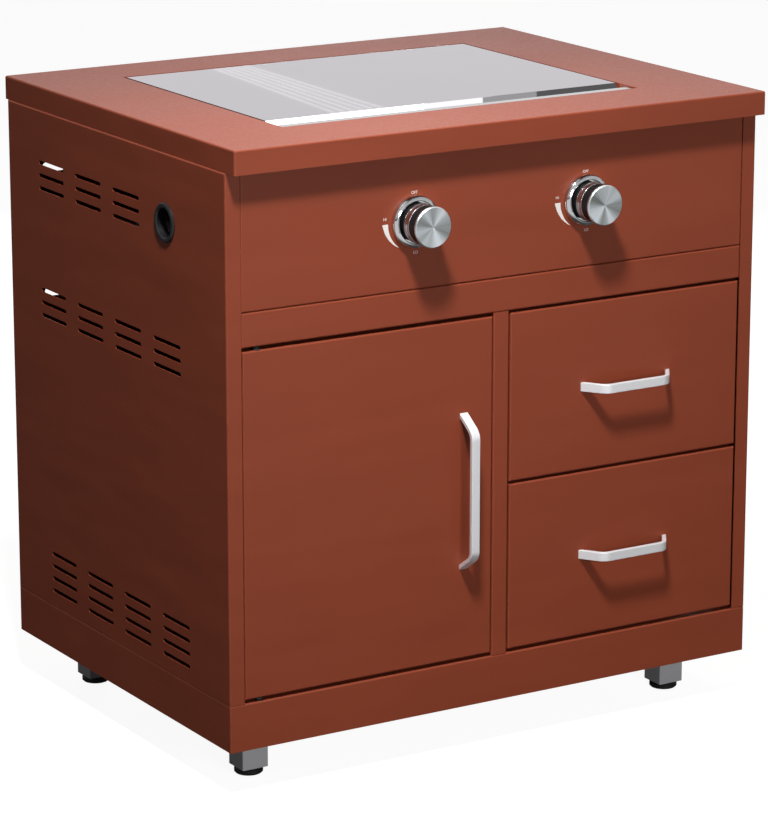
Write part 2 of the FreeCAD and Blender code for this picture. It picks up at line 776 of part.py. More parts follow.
def make_hob_tray():
    """The stainless well under the lid, with a ledge on three sides and a raised lip in front."""
    x = ("-tray_x", "tray_x")
    y = ("tray_front", "tray_back")
    z = ("tray_z", "ledge_z")
    shell = box("tray_shell", x, y, z)
    flange = box("tray_flange", ("-cut_x - cutout_return", "cut_x + cutout_return"),
                 ("cut_front - cutout_return", "cut_back + cutout_return"),
                 ("top_z - tray_sheet", "top_z"))
    lip_back = "tray_front + lip_depth"
    lip_top = "worktop_z - lip_drop"
    lip = box("tray_lip", x, ("tray_front", lip_back), ("ledge_z - tray_sheet", lip_top))
    lip_hollow = box("tray_lip_hollow",
                     ("tray_sheet - tray_x", "tray_x - tray_sheet"),
                     ("tray_front + tray_sheet", lip_back + " - tray_sheet"),
                     ("ledge_z - 2 * tray_sheet", lip_top + " - tray_sheet"))
    well = box("tray_well",
               ("tray_sheet - tray_x", "tray_x - tray_sheet"),
               ("tray_front + tray_sheet", "tray_back - tray_sheet"),
               ("tray_z + tray_sheet", "ledge_z - tray_sheet"))
    mouth = box("tray_mouth",
                ("-mouth_x", "mouth_x"),
                ("tray_front + front_ledge", "tray_back - tray_sheet"),
                ("ledge_z - 2 * tray_sheet", "ledge_z + overshoot"))
    hinge_room = box("tray_hinge_room",
                     ("tray_sheet - tray_x", "tray_x - tray_sheet"),
                     ("tray_back - hinge_clear", "tray_back - tray_sheet"),
                     ("ledge_z - 2 * tray_sheet", "ledge_z + overshoot"))
    tools = [well, lip_hollow, mouth, hinge_room]
    for side, sign in BOTH:
        tools.append(rod(side + "_throat_hole", "throat_radius + fit_gap", "3 * tray_sheet",
                         (sign + "knob_x", "burner_y", "tray_z - tray_sheet")))
        tools.append(rod(side + "_igniter_hole", "igniter_radius + fit_gap", "3 * tray_sheet",
                         (sign + "knob_x", "burner_y - igniter_offset", "tray_z - tray_sheet")))
    node("hob_tray", cut("hob_tray", fuse("tray_body", [shell, flange, lip]), tools))


# Flame ports in each burner's rim
PORT_COUNT = 24


def flame_ports(name, spot):
    """Radial notches across the burner's rim, as one cutting tool. The cap closes their tops."""
    inner = value("burner_radius") - value("burner_rim") - value("burner_taper")
    length = value("burner_radius") + value("overshoot") - inner
    width = value("port_width")
    corner = FreeCAD.Vector(inner, -width / 2, value("burner_height") - value("port_depth"))
    notches = []
    for number in range(PORT_COUNT):
        notch = Part.makeBox(length, width, value("port_depth") + value("overshoot"), corner)
        notch.rotate(FreeCAD.Vector(), UPWARD, 360 * number / PORT_COUNT)
        notches.append(notch)
    ports = doc.addObject("Part::Feature", name)
    ports.Shape = Part.Compound(notches)
    place(ports, *spot)
    return ports


def make_burners():
    """Burner bases, caps, igniters and the tubes that feed them."""
    bases = []
    caps = []
    igniters = []
    tubes = []
    bore = "throat_radius + fit_gap"
    lip = "cap_lip_radius - cap_lip_wall"
    for side, sign in BOTH:
        x = sign + "knob_x"
        floor = (x, "burner_y", "tray_z + tray_sheet")
        bowl = turned(side + "_burner_bowl", [
            (bore, "0"), ("burner_radius - burner_foot_inset", "0"),
            ("burner_radius", "burner_foot_height"), ("burner_radius", "burner_height - burner_edge"),
            ("burner_radius - burner_edge", "burner_height"), ("burner_radius - burner_rim", "burner_height"),
            ("burner_radius - burner_rim - burner_taper", "burner_floor"), (bore, "burner_floor"),
        ], floor)
        bases.append(cut(side + "_burner_base", bowl, [flame_ports(side + "_flame_ports", floor)]))
        caps.append(turned(side + "_burner_cap", [
            ("0", "0"), (lip, "0"), (lip, "-cap_lip_depth"), ("cap_lip_radius", "-cap_lip_depth"),
            ("cap_lip_radius", "0"), ("cap_radius", "0"), ("cap_radius", "cap_edge"),
            ("cap_radius - cap_shoulder", "cap_height - cap_crown"), (lip, "cap_height"), ("0", "cap_height"),
        ], (x, "burner_y", "tray_z + tray_sheet + burner_height")))
        igniters.append(turned(side + "_igniter", [
            ("0", "-igniter_below"), ("igniter_radius", "-igniter_below"),
            ("igniter_radius", "igniter_sleeve"),
            ("igniter_wire", "igniter_sleeve + igniter_cone"), ("igniter_wire", "igniter_tip"),
            ("0", "igniter_tip"),
        ], (x, "burner_y - igniter_offset", "tray_z + tray_sheet")))
        run = rod(side + "_tube_run", "tube_radius", "burner_y - tube_front",
                  (x, "tube_front", "knob_z"), "back")
        rise = rod(side + "_tube_rise", "throat_radius", "throat_radius + tray_rise + throat_top",
                   (x, "burner_y", "knob_z - throat_radius"))
        run_bore = rod(side + "_tube_bore", "tube_radius - tube_wall", "burner_y - tube_front + overshoot",
                       (x, "tube_front - overshoot", "knob_z"), "back")
        rise_bore = rod(side + "_throat_bore", "throat_radius - tube_wall",
                        "throat_radius + tray_rise + throat_top",
                        (x, "burner_y", "knob_z - throat_radius + tube_wall"))
        outer = fuse(side + "_tube_outer", [run, rise])
        tubes.append(cut(side + "_mixing_tube", outer, [run_bore, rise_bore]))
    group("burner_bases", bases)
    group("burner_caps", caps)
    group("igniter_electrodes", igniters)
    group("mixing_tubes", tubes)


def make_pan_support(side, sign):
    """A cast grid: a frame on four legs with fingers towards the burner."""
    x = sign + "knob_x"
    top = "support_top"
    low = top + " - support_bar"
    half_x = "support_width / 2"
    half_y = "support_depth / 2"
    bars = []
    name = side + "_support"
    for end, way in (("front", "-"), ("back", "+")):
        edge = "burner_y %s (%s - support_bar / 2)" % (way, half_y)
        bars.append(box(name + "_" + end,
                        ("%s - %s" % (x, half_x), "%s + %s" % (x, half_x)),
                        (edge + " - support_bar / 2", edge + " + support_bar / 2"), (low, top)))
        tip = "burner_y %s support_eye" % way
        finger = (tip, edge) if way == "+" else (edge, tip)
        bars.append(box(name + "_" + end + "_finger",
                        (x + " - support_bar / 2", x + " + support_bar / 2"), finger, (low, top)))
    for end, way in (("outer", "-"), ("inner", "+")):
        edge = "%s %s (%s - support_bar / 2)" % (x, way, half_x)
        bars.append(box(name + "_" + end,
                        (edge + " - support_bar / 2", edge + " + support_bar / 2"),
                        ("burner_y - " + half_y, "burner_y + " + half_y), (low, top)))
        tip = "%s %s support_eye" % (x, way)
        finger = (tip, edge) if way == "+" else (edge, tip)
        bars.append(box(name + "_" + end + "_finger", finger,
                        ("burner_y - support_bar / 2", "burner_y + support_bar / 2"), (low, top)))
        for corner, reach in (("front", "-"), ("back", "+")):
            spot = "burner_y %s (%s - support_bar / 2)" % (reach, half_y)
            bars.append(box("%s_%s_%s_leg" % (name, end, corner),
                            (edge + " - support_bar / 2", edge + " + support_bar / 2"),
                            (spot + " - support_bar / 2", spot + " + support_bar / 2"),
                            ("tray_z + tray_sheet", top)))
    return fuse(side + "_pan_support", bars)


def make_gas_train():
    """Valves with their jets, the bent manifold tube and its inlet fitting."""
    valves = []
    for side, sign in BOTH:
        x = sign + "knob_x"
        shell = rod(side + "_valve_shell", "valve_radius", "valve_back - sheet_steel",
                    (x, "front_y + sheet_steel", "knob_z"), "back")
        neck = rod(side + "_valve_neck", "valve_neck_radius", "manifold_drop - manifold_radius",
                   (x, "manifold_y", "manifold_z + manifold_radius"))
        jet = rod(side + "_jet", "jet_radius", "jet_length", (x, "front_y + valve_back", "knob_z"), "back")
        cup = rod(side + "_valve_cup", "collar_radius + running_gap",
                  "collar_thickness + knob_push + collar_room",
                  (x, "front_y + sheet_steel - overshoot", "knob_z"), "back")
        bore = rod(side + "_valve_bore", "stem_radius + running_gap", "stem_back + knob_push + stem_end_room",
                   (x, "front_y", "knob_z"), "back")
        valves.append(cut(side + "_valve", fuse(side + "_valve_body", [shell, neck, jet]), [cup, bore]))
    group("gas_valves", valves)

    far = value("knob_x") + value("manifold_overrun")
    turn_x = value("inlet_x") + 2 * value("manifold_bend") + value("inlet_nut_length")
    route = [
        FreeCAD.Vector(far, value("manifold_y"), value("manifold_z")),
        FreeCAD.Vector(turn_x, value("manifold_y"), value("manifold_z")),
        FreeCAD.Vector(turn_x, value("grommet_y"), value("manifold_z")),
        FreeCAD.Vector(turn_x, value("grommet_y"), value("knob_z")),
        FreeCAD.Vector(value("inlet_x") + value("inlet_nut_length"), value("grommet_y"), value("knob_z")),
    ]
    path = bent_path(route, value("manifold_bend"))
    skins = []
    for radius in (value("manifold_radius"), value("manifold_bore")):
        ring = Part.Wire([Part.makeCircle(radius, route[0], FreeCAD.Vector(1, 0, 0))])
        skins.append(path.makePipeShell([ring], True, False))
    cap = Part.makeCylinder(value("manifold_radius"), value("sheet_steel"), route[0], FreeCAD.Vector(1, 0, 0))
    pipe = doc.addObject("Part::Feature", "gas_manifold")
    pipe.Shape = skins[0].cut(skins[1]).fuse(cap).removeSplitter()
    node("gas_manifold", pipe)

    node("gas_inlet_fitting", turned("gas_inlet_fitting", [
        ("manifold_bore", "-inlet_nut_length"),
        ("inlet_nut_radius - inlet_nut_chamfer", "-inlet_nut_length"),
        ("inlet_nut_radius", "inlet_nut_chamfer - inlet_nut_length"),
        ("inlet_nut_radius", "-inlet_nut_chamfer"), ("inlet_nut_radius - inlet_nut_chamfer", "0"),
        ("inlet_radius", "0"), ("inlet_radius", "inlet_length"), ("inlet_bore", "inlet_length"),
        ("inlet_bore", "0"), ("manifold_bore", "-inlet_socket"),
    ], ("inlet_x", "grommet_y", "knob_z"), "left"))


def make_grommet():
    """The snap-in plastic ring that lines the hose hole."""
    node("hose_grommet", turned("hose_grommet", [
        ("grommet_bore", "-grommet_reach"), ("grommet_neck - grommet_lead", "-grommet_reach"),
        ("grommet_neck + grommet_barb", "-sheet_steel - grommet_barb_length"),
        ("grommet_neck + grommet_barb", "-sheet_steel"), ("grommet_neck", "-sheet_steel"),
        ("grommet_neck", "0"), ("grommet_rim", "0"), ("grommet_rim", "grommet_proud - grommet_bevel"),
        ("grommet_rim - grommet_bevel", "grommet_proud"), ("grommet_bore + grommet_bevel", "grommet_proud"),
        ("grommet_bore", "grommet_proud - grommet_bevel"),
    ], ("-half_width", "grommet_y", "knob_z"), "left"))


# Facets of the bezel's rounded shoulder
BEZEL_STEPS = 6


def make_controls():
    """Bezels, thrust collars, stems and knobs."""
    bezels = []
    shoulder = []
    for step in range(BEZEL_STEPS + 1):
        angle = math.pi / 2 * step / BEZEL_STEPS
        shoulder.append((
            "bezel_bore + bezel_bevel + %.4f * (bezel_radius - bezel_bore - bezel_bevel)" % math.cos(angle),
            "bezel_edge + %.4f * (bezel_height - bezel_edge)" % math.sin(angle),
        ))
    for side, sign in BOTH:
        spot = (sign + "knob_x", "front_y", "knob_z")
        bezels.append(turned(side + "_bezel", [
            ("stem_hole", "0"), ("bezel_radius", "0"), *shoulder,
            ("bezel_bore", "bezel_height - bezel_bevel"), ("bezel_bore", "bezel_base"),
            ("stem_hole", "bezel_base"),
        ], spot, "front"))
        node(side + "_valve_collar", turned(side + "_valve_collar", [
            ("stem_radius + running_gap", "collar_back"), ("collar_radius", "collar_back"),
            ("collar_radius", "collar_front"), ("stem_radius + running_gap", "collar_front"),
        ], spot, "front"))
        node(side + "_valve_stem", turned(side + "_valve_stem", [
            ("0", "-stem_back"), ("stem_radius - stem_chamfer", "-stem_back"),
            ("stem_radius", "stem_chamfer - stem_back"), ("stem_radius", "stem_front"), ("0", "stem_front"),
        ], spot, "front"))
        hollow = "knob_body_radius - knob_wall"
        crown = "knob_front - knob_crown"
        hub = "stem_radius + knob_hub_wall"
        node(side + "_knob", turned(side + "_knob", [
            ("0", "knob_front"), ("knob_body_radius", "knob_front"), ("knob_body_radius", "knob_back"),
            (hollow, "knob_back"), (hollow, crown), (hub, crown), (hub, "knob_back"),
            ("stem_radius + running_gap", "knob_back"),
            ("stem_radius + running_gap", "stem_front + stem_end_gap"), ("0", "stem_front + stem_end_gap"),
        ], spot, "front"))
        node(side + "_knob_face", turned(side + "_knob_face", [
            ("0", "knob_front"), ("knob_face_radius - face_back_bevel", "knob_front"),
            ("knob_face_radius", "knob_front + face_back_bevel"),
            ("knob_face_radius", "knob_proud - face_bevel"),
            ("knob_face_radius - face_bevel", "knob_proud"), ("0", "knob_proud - face_dish"),
        ], spot, "front"))
    group("knob_bezels", bezels)


def make_lid():
    """The flush stainless lid with a sloped front edge, its hinge pins and its bumpers."""
    x = ("-lid_x", "lid_x")
    y = ("lid_front", "lid_back")
    z = ("worktop_z - lid_skirt", "worktop_z")
    nose = [("x", ["y0", "z1"])]
    block = rounded("lid_nose_out", box("lid_outer", x, y, z), "lid_nose", nose, "Part::Chamfer")
    block = rounded("lid_folds", block, "lid_bend", [("x", ["z1"])])
    core = box("lid_core",
               ("thin_sheet - lid_x", "lid_x - thin_sheet"),
               ("lid_front + thin_sheet", "lid_back - thin_sheet"),
               ("worktop_z - lid_skirt - overshoot", "worktop_z - thin_sheet"))
    core = rounded("lid_nose_in", core, "lid_inner_nose", nose, "Part::Chamfer")
    tools = [core]
    pins = []
    bumpers = []
    for side, sign in BOTH:
        way = "left" if sign else "right"
        inner = sign + "(lid_x - thin_sheet - lid_pin_grip)"
        seat = sign + "(cut_x + sheet_steel)"
        tools.append(rod(side + "_skirt_hole", "lid_pin_radius + running_gap", "2 * thin_sheet",
                         (sign + "(lid_x - 1.5 * thin_sheet)", "lid_pivot_y", "lid_pivot_z"), way))
        shank = rod(side + "_lid_pin_shank", "lid_pin_radius",
                    "lid_gap + thin_sheet + lid_pin_grip + sheet_steel",
                    (inner, "lid_pivot_y", "lid_pivot_z"), way)
        head = rod(side + "_lid_pin_head", "lid_pin_head", "lid_pin_head_length",
                   (seat, "lid_pivot_y", "lid_pivot_z"), way)
        pins.append(fuse(side + "_lid_pin", [shank, head]))
        for spot, depth in (("front", "lid_front + bumper_front_inset"),
                            ("back", "tray_back - hinge_clear - bumper_back_inset")):
            bumpers.append(rod("%s_%s_bumper" % (side, spot), "bumper_radius",
                               "ledge_drop - lid_skirt - lid_rest_gap",
                               (sign + "(lid_x - bumper_radius)", depth, "ledge_z")))
    node("lid", cut("lid", block, tools))
    group("lid_hinge_pins", pins)
    group("lid_bumpers", bumpers)


def strap_handle(name, across, along, length, vertical):
    """A flat strap bent into a low bridge with slanting legs. across and along name its middle."""
    half = value(length) / 2
    width = value("handle_width")
    height = value("handle_standoff")
    under = height - value("handle_bar")
    slant = value("handle_slant")
    corner = value("handle_corner")
    foot = value("handle_foot")

    def spot(far, off):
        """A point of the side view: how far along from the middle, and how far off the front."""
        y = value("front_y") - off
        if vertical:
            return FreeCAD.Vector(value(across) - width / 2, y, value(along) + far)
        return FreeCAD.Vector(value(along) + far, y, value(across) - width / 2)

    outer = [spot(-half, 0), spot(slant - half, height), spot(half - slant, height), spot(half, 0)]
    inner = [spot(foot - half, 0), spot(corner - half, under),
             spot(half - corner, under), spot(half - foot, 0)]
    edges = bent_path(outer, value("handle_bend")).Edges
    edges += bent_path(inner, value("handle_inner_bend")).Edges
    edges.append(Part.LineSegment(outer[0], inner[0]).toShape())
    edges.append(Part.LineSegment(outer[-1], inner[-1]).toShape())
    outline = Part.Face(Part.Wire(Part.__sortEdges__(edges)))
    wide = RIGHTWARD * width if vertical else UPWARD * width
    solid = outline.extrude(wide)
    # The edges that run the length of the strap are eased. Those across it and those on the front stay.
    long = []
    for edge in solid.Edges:
        level = abs((edge.Vertexes[-1].Point - edge.Vertexes[0].Point).dot(wide)) < NEAR
        if level and min(vertex.Y for vertex in edge.Vertexes) < value("front_y") - NEAR:
            long.append(edge)
    strap = doc.addObject("Part::Feature", name + "_strap")
    strap.Shape = solid.makeFillet(value("handle_edge"), long)
    tools = []
    screws = []
    holes = []
    for number, way in enumerate("-+"):
        seat = "%s %s (%s / 2 - handle_screw_inset)" % (along, way, length)
        x, z = (across, seat) if vertical else (seat, across)
        title = "%s_screw%d" % (name, number)
        tools.append(rod(title + "_socket", "screw_radius + running_gap", "screw_reach",
                         (x, "front_y", z), "front"))
        holes.append(rod(title + "_hole", "screw_hole", "3 * thin_sheet",
                         (x, "front_y + 2 * thin_sheet", z), "front"))
        shank = rod(title + "_shank", "screw_radius", "screw_reach - screw_end_gap + thin_sheet",
                    (x, "front_y + thin_sheet", z), "front")
        head = rod(title + "_head", "screw_head", "screw_head_height", (x, "front_y + thin_sheet", z), "back")
        screws.append(fuse(title, [shank, head]))
    return cut(name, strap, tools), screws, holes


def front_pan(name, x, z, holes):
    """A door or drawer skin: a shallow pan, open at the back."""
    y = ("front_y", "front_back_y")
    block = soft_front(name + "_block", box(name + "_outer", x, y, z))
    hollow = inside(name + "_hollow", x, y, z, "thin_sheet", ["y1"])
    return cut(name, block, [hollow] + holes)


def make_door():
    """The door: skin, liner, handle, pivots and catch."""
    x = ("door_x0", "door_x1")
    z = ("door_z0", "door_z1")
    handle, screws, holes = strap_handle(
        "door_handle", "door_handle_x", "door_handle_z", "door_handle_length", True)
    bush_hole = "bush_radius + running_gap"
    for end, low in (("top", "door_z1 - 2 * thin_sheet"), ("foot", "door_z0 - thin_sheet")):
        holes.append(rod("door_%s_hole" % end, bush_hole, "3 * thin_sheet", ("pivot_x", "pivot_y", low)))
    node("door_panel", front_pan("door_panel", x, z, holes))
    node("door_liner", box("door_liner", ("door_x0 + thin_sheet", "door_x1 - thin_sheet"),
                           ("front_back_y - thin_sheet", "front_back_y"),
                           ("door_z0 + thin_sheet", "door_z1 - thin_sheet")))
    node("door_handle", handle)
    group("door_handle_screws", screws)

    bushes = []
    pins = []
    shoulder = "door_end_gap - bush_flange - fit_gap"
    ends = (("foot", "", "door_z0", "deck_z"), ("top", "-", "door_z1", "rail_z"))
    for end, sign, door_end, frame_end in ends:
        outline = [
            ("pivot_radius + running_gap", "%s(-bush_flange)" % sign),
            ("bush_radius + bush_rim", "%s(-bush_flange)" % sign), ("bush_radius + bush_rim", "0"),
            ("bush_radius", "0"), ("bush_radius", "%s(pivot_reach)" % sign),
            ("pivot_radius + running_gap", "%s(pivot_reach)" % sign),
        ]
        bushes.append(turned("door_%s_bush" % end, outline, ("pivot_x", "pivot_y", door_end)))
        outline = [
            ("0", "%s(-2 * sheet_steel)" % sign), ("pivot_radius", "%s(-2 * sheet_steel)" % sign),
            ("pivot_radius", "0"), ("bush_radius", "0"), ("bush_radius", "%s(%s)" % (sign, shoulder)),
            ("pivot_radius", "%s(%s)" % (sign, shoulder)),
            ("pivot_radius", "%s(door_end_gap + pivot_reach - pin_end_gap)" % sign),
            ("0", "%s(door_end_gap + pivot_reach - pin_end_gap)" % sign),
        ]
        pins.append(turned("door_%s_pin" % end, outline, ("pivot_x", "pivot_y", frame_end)))
    group("door_pivot_bushes", bushes)
    group("door_pivot_pins", pins)
    node("door_catch", box("door_catch", ("stile_left - catch_width", "stile_left"),
                           ("front_back_y + catch_gap", "front_back_y + catch_gap + catch_depth"),
                           ("door_z1 - 2 * catch_height", "door_z1 - catch_height")))


def make_runners(level, floor):
    """Fixed, middle and drawer members of both runners of one drawer."""
    middle = "(%s + runner_lift)" % floor
    fixed = []
    moving = []
    carried = []
    play = "fit_gap + runner_sheet"
    stages = (
        ("fixed", "0", "runner_thickness - runner_fixed_short", "runner_height / 2", fixed, True),
        ("middle", "runner_sheet + runner_step", "runner_thickness - runner_middle_short",
         "runner_height / 2 - (%s)" % play, moving, True),
        ("drawer", "2 * (runner_sheet + runner_step)", "runner_thickness",
         "runner_height / 2 - 2 * (%s)" % play, carried, False),
    )
    y = ("front_back_y + runner_setback", "front_back_y + runner_setback + runner_length")
    for side, wall_x, sign in (("left", "runner_x0", "+"), ("right", "runner_x1", "-")):
        for title, near, far, half, members, web_near in stages:
            x_near = "%s %s (%s)" % (wall_x, sign, near)
            x_far = "%s %s (%s)" % (wall_x, sign, far)
            x = (x_near, x_far) if sign == "+" else (x_far, x_near)
            z = ("%s - (%s)" % (middle, half), "%s + %s" % (middle, half))
            web_side = "x0" if (sign == "+") == web_near else "x1"
            open_side = "x1" if web_side == "x0" else "x0"
            name = "%s_%s_%s_runner" % (level, side, title)
            hollow = inside(name + "_hollow", x, y, z, "runner_sheet", [open_side, "y0", "y1"])
            members.append(cut(name, box(name + "_outer", x, y, z), [hollow]))
    return fixed, moving, carried


def make_drawer(level, floor):
    """A drawer: skin, handle, box and runner members. Gives back the fixed members."""
    x = ("drawer_x0", "drawer_x1")
    z = (floor, floor + " + drawer_tall")
    name = level + "_drawer"
    handle, screws, holes = strap_handle(
        name + "_handle", level + "_handle_z", "drawer_handle_x", "drawer_handle_length", False)
    node(name + "_front", front_pan(name + "_front", x, z, holes))
    node(name + "_handle", handle)
    group(name + "_screws", screws)
    liner = box(name + "_liner", ("drawer_x0 + thin_sheet", "drawer_x1 - thin_sheet"),
                ("front_back_y - thin_sheet", "front_back_y"),
                (z[0] + " + thin_sheet", z[1] + " - thin_sheet"))
    box_x = ("box_x0", "box_x1")
    box_y = ("front_back_y - thin_sheet", "front_back_y + drawer_box_depth")
    box_z = (floor + " + drawer_box_lift", floor + " + drawer_box_lift + drawer_box_height")
    tub = box(name + "_tub", box_x, box_y, box_z)
    hollow = inside(name + "_tub_hollow", box_x, box_y, box_z, "thin_sheet", ["z1"])
    node(name + "_box", cut(name + "_box", fuse(name + "_body", [tub, liner]), [hollow]))
    fixed, moving, carried = make_runners(level, floor)
    group(name + "_runners", carried)
    group(level + "_middle_runners", moving)
    return fixed


def make_runner_brackets():
    """Hat rails that bring the right-hand runners in line with the stile."""
    rails = []
    for level, floor in (("lower", "lower_z"), ("upper", "upper_z")):
        middle = "(%s + runner_lift)" % floor
        x = ("bay_right", "half_width - sheet_steel")
        y = ("front_back_y + panel_flange", "front_back_y + runner_length")
        z = (middle + " - runner_height / 2", middle + " + runner_height / 2")
        hollow = inside(level + "_bracket_hollow", x, y, z, "sheet_steel", ["x1", "y0", "y1"])
        rails.append(cut(level + "_bracket", box(level + "_bracket_outer", x, y, z), [hollow]))
    group("runner_brackets", rails)


def make_legs():
    """Square tube legs and the levelling feet screwed into them."""
    legs = []
    for end in ("front", "back"):
        for side, sign in BOTH:
            name = "%s_%s" % (end, side)
            x = sign + "leg_x"
            y = "leg_" + end
            wide = ("%s - leg_width / 2" % x, "%s + leg_width / 2" % x)
            deep = ("%s - leg_width / 2" % y, "%s + leg_width / 2" % y)
            post = rounded(name + "_post", box(name + "_post_outer", wide, deep, ("leg_z", "deck_z")),
                           "leg_wall", [("z", [])])
            hollow = box(name + "_post_hollow",
                         (wide[0] + " + leg_wall", wide[1] + " - leg_wall"),
                         (deep[0] + " + leg_wall", deep[1] + " - leg_wall"),
                         ("leg_z + leg_plate", "deck_z + overshoot"))
            hole = rod(name + "_stud_hole", "stud_radius + running_gap", "3 * leg_plate",
                       (x, y, "leg_z - leg_plate"))
            legs.append(cut(name + "_leg", post, [hollow, hole]))
            node(name + "_foot", turned(name + "_foot", [
                ("0", "0"), ("pad_radius - pad_lower_edge", "0"), ("pad_radius", "pad_lower_edge"),
                ("pad_radius", "pad_height - pad_upper_edge"), ("pad_radius - pad_upper_edge", "pad_height"),
                ("stud_radius", "pad_height"), ("stud_radius", "stud_top - stud_chamfer"),
                ("stud_radius - stud_chamfer", "stud_top"), ("0", "stud_top"),
            ], (x, y, "0")))
    group("legs", legs)


def make_panel_screws():
    """Pan-head screws through the side panels' back flanges into the back panel."""
    screws = []
    for side, sign in BOTH:
        for number, (across, up) in enumerate(screw_spots(sign)):
            name = "%s_back_screw%d" % (side, number)
            body = turned(name + "_body", [
                ("0", "-panel_screw_length"), ("panel_screw_radius", "-panel_screw_length"),
                ("panel_screw_radius", "0"), ("screw_head", "0"), ("screw_head", "screw_head_edge"),
                ("screw_head - screw_head_slope", "screw_head_height"), ("0", "screw_head_height"),
            ], (across, "back_y", up), "back")
            long = ("%s - recess_length / 2", "%s + recess_length / 2")
            thin = ("%s - recess_width / 2", "%s + recess_width / 2")
            deep = ("back_y + screw_head_height - recess_depth", "back_y + screw_head_height + overshoot")
            arms = []
            for title, wide, tall in (("level", long, thin), ("upright", thin, long)):
                arms.append(box("%s_%s_arm" % (name, title), [end % across for end in wide], deep,
                                [end % up for end in tall]))
            screws.append(cut(name, body, arms))
    group("panel_screws", screws)


make_plinth()
make_bottom_panel()
for side, sign in BOTH:
    make_side_panel(side, sign)
make_back_panel()
make_front_frame()
make_worktop()
make_hob_tray()
make_burners()
group("pan_supports", [make_pan_support(side, sign) for side, sign in BOTH])
make_gas_train()
make_grommet()
make_controls()
make_lid()
make_door()
fixed_runners = make_drawer("lower", "lower_z") + make_drawer("upper", "upper_z")
group("fixed_runners", fixed_runners)
make_runner_brackets()
make_legs()
make_panel_screws()
doc.recompute()

# Nothing is written unless every object is sound.
for piece in doc.Objects:
    if "Invalid" in piece.State or "Error" in piece.State:
        raise RuntimeError("failed: " + piece.Name)
for name, piece in nodes.items():
    if piece.Shape.isNull() or not piece.Shape.isValid():
        raise RuntimeError("bad shape: " + name)

os.makedirs("parts", exist_ok=True)
for name, piece in nodes.items():
    piece.Shape.exportStep("parts/%s.step" % name)
    print(name, len(piece.Shape.Solids), round(piece.Shape.Volume / 1000, 1), "cm3")
print(len(nodes), "nodes")
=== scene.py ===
# %% [markdown]
# # An outdoor gas stove, dressed round its CAD frame
# The stove is a cabinet of folded sheet steel under a slab worktop. A stainless lid lies flush in the slab, over two
# burners. A door and two drawers fill the front, and two knobs work the gas. Every shape with a size comes from the
# CAD model. This lesson gives those shapes their finishes, and adds the thin things that a maker prints or presses on.

# %% Load the frame
import math

import bmesh
import bpy
from mathutils import Matrix, Quaternion, Vector


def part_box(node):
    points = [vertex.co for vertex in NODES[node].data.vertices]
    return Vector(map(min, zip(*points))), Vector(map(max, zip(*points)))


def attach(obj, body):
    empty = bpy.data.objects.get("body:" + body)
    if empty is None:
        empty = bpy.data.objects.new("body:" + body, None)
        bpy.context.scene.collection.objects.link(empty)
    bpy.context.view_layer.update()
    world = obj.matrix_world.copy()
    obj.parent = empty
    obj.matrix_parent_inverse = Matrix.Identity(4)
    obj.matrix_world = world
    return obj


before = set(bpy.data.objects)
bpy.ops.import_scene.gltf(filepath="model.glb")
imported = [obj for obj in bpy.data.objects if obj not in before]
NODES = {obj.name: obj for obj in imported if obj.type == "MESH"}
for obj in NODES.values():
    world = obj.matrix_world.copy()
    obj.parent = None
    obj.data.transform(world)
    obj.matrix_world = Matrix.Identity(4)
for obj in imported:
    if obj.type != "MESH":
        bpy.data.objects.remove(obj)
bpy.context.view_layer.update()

MM = 0.001

# %% [markdown]
# ## The camera
# The photograph was taken with a long lens from the front left, a little above the worktop. Yaw and pitch were fitted
# to the corners of the slab and the plinth. A lens shift could keep the uprights parallel, as they are in the picture,
# but so large a shift would push the object out of every other view, so there is none.

# %% Camera
IMAGE_HEIGHT_PX = 818
SENSOR_MM = 36.0
FOCAL_PX = 3811.0
YAW = 0.5486
PITCH_DOWN = 0.2574
CAMERA_PLACE = Vector((-2.7599, -4.5109, 1.8112))

scene = bpy.context.scene
camera_data = bpy.data.cameras.new("photo_camera")
camera_data.sensor_width = SENSOR_MM
camera_data.lens = FOCAL_PX * SENSOR_MM / IMAGE_HEIGHT_PX
camera_data.clip_end = 200.0
camera = bpy.data.objects.new("photo_camera", camera_data)
scene.collection.objects.link(camera)
look = Vector((math.sin(YAW) * math.cos(PITCH_DOWN), math.cos(YAW) * math.cos(PITCH_DOWN), -math.sin(PITCH_DOWN)))
camera.location = CAMERA_PLACE
camera.rotation_mode = "QUATERNION"
camera.rotation_quaternion = look.to_track_quat("-Z", "Y")
scene.camera = camera
scene.view_settings.view_transform = "Standard"
print("lens in mm:", round(camera_data.lens, 1))

# %% [markdown]
# ## Two helpers for shaders
# Colours are picked on a screen as sRGB hex values, but shaders reckon with linear light, so one function converts
# them. A second one adds a node, sets it and wires it up in a single call. A socket takes either a value or the
# output of another node.

# %% Shader helpers
def linear(hex_colour):
    """Linear RGBA of an sRGB hex colour."""
    parts = [int(hex_colour[i:i + 2], 16) / 255 for i in (1, 3, 5)]
    return [p / 12.92 if p <= 0.04045 else ((p + 0.055) / 1.055) ** 2.4 for p in parts] + [1.0]


def add(tree, kind, sockets=None, **settings):
    """A new node with these settings, and with its sockets set or linked."""
    node = tree.nodes.new(kind)
    for key, value in settings.items():
        setattr(node, key, value)
    for socket, value in (sockets or {}).items():
        if isinstance(value, bpy.types.NodeSocket):
            tree.links.new(value, node.inputs[socket])
        else:
            node.inputs[socket].default_value = value
    return node


print("terracotta in linear light:", [round(c, 3) for c in linear("#88402A")])

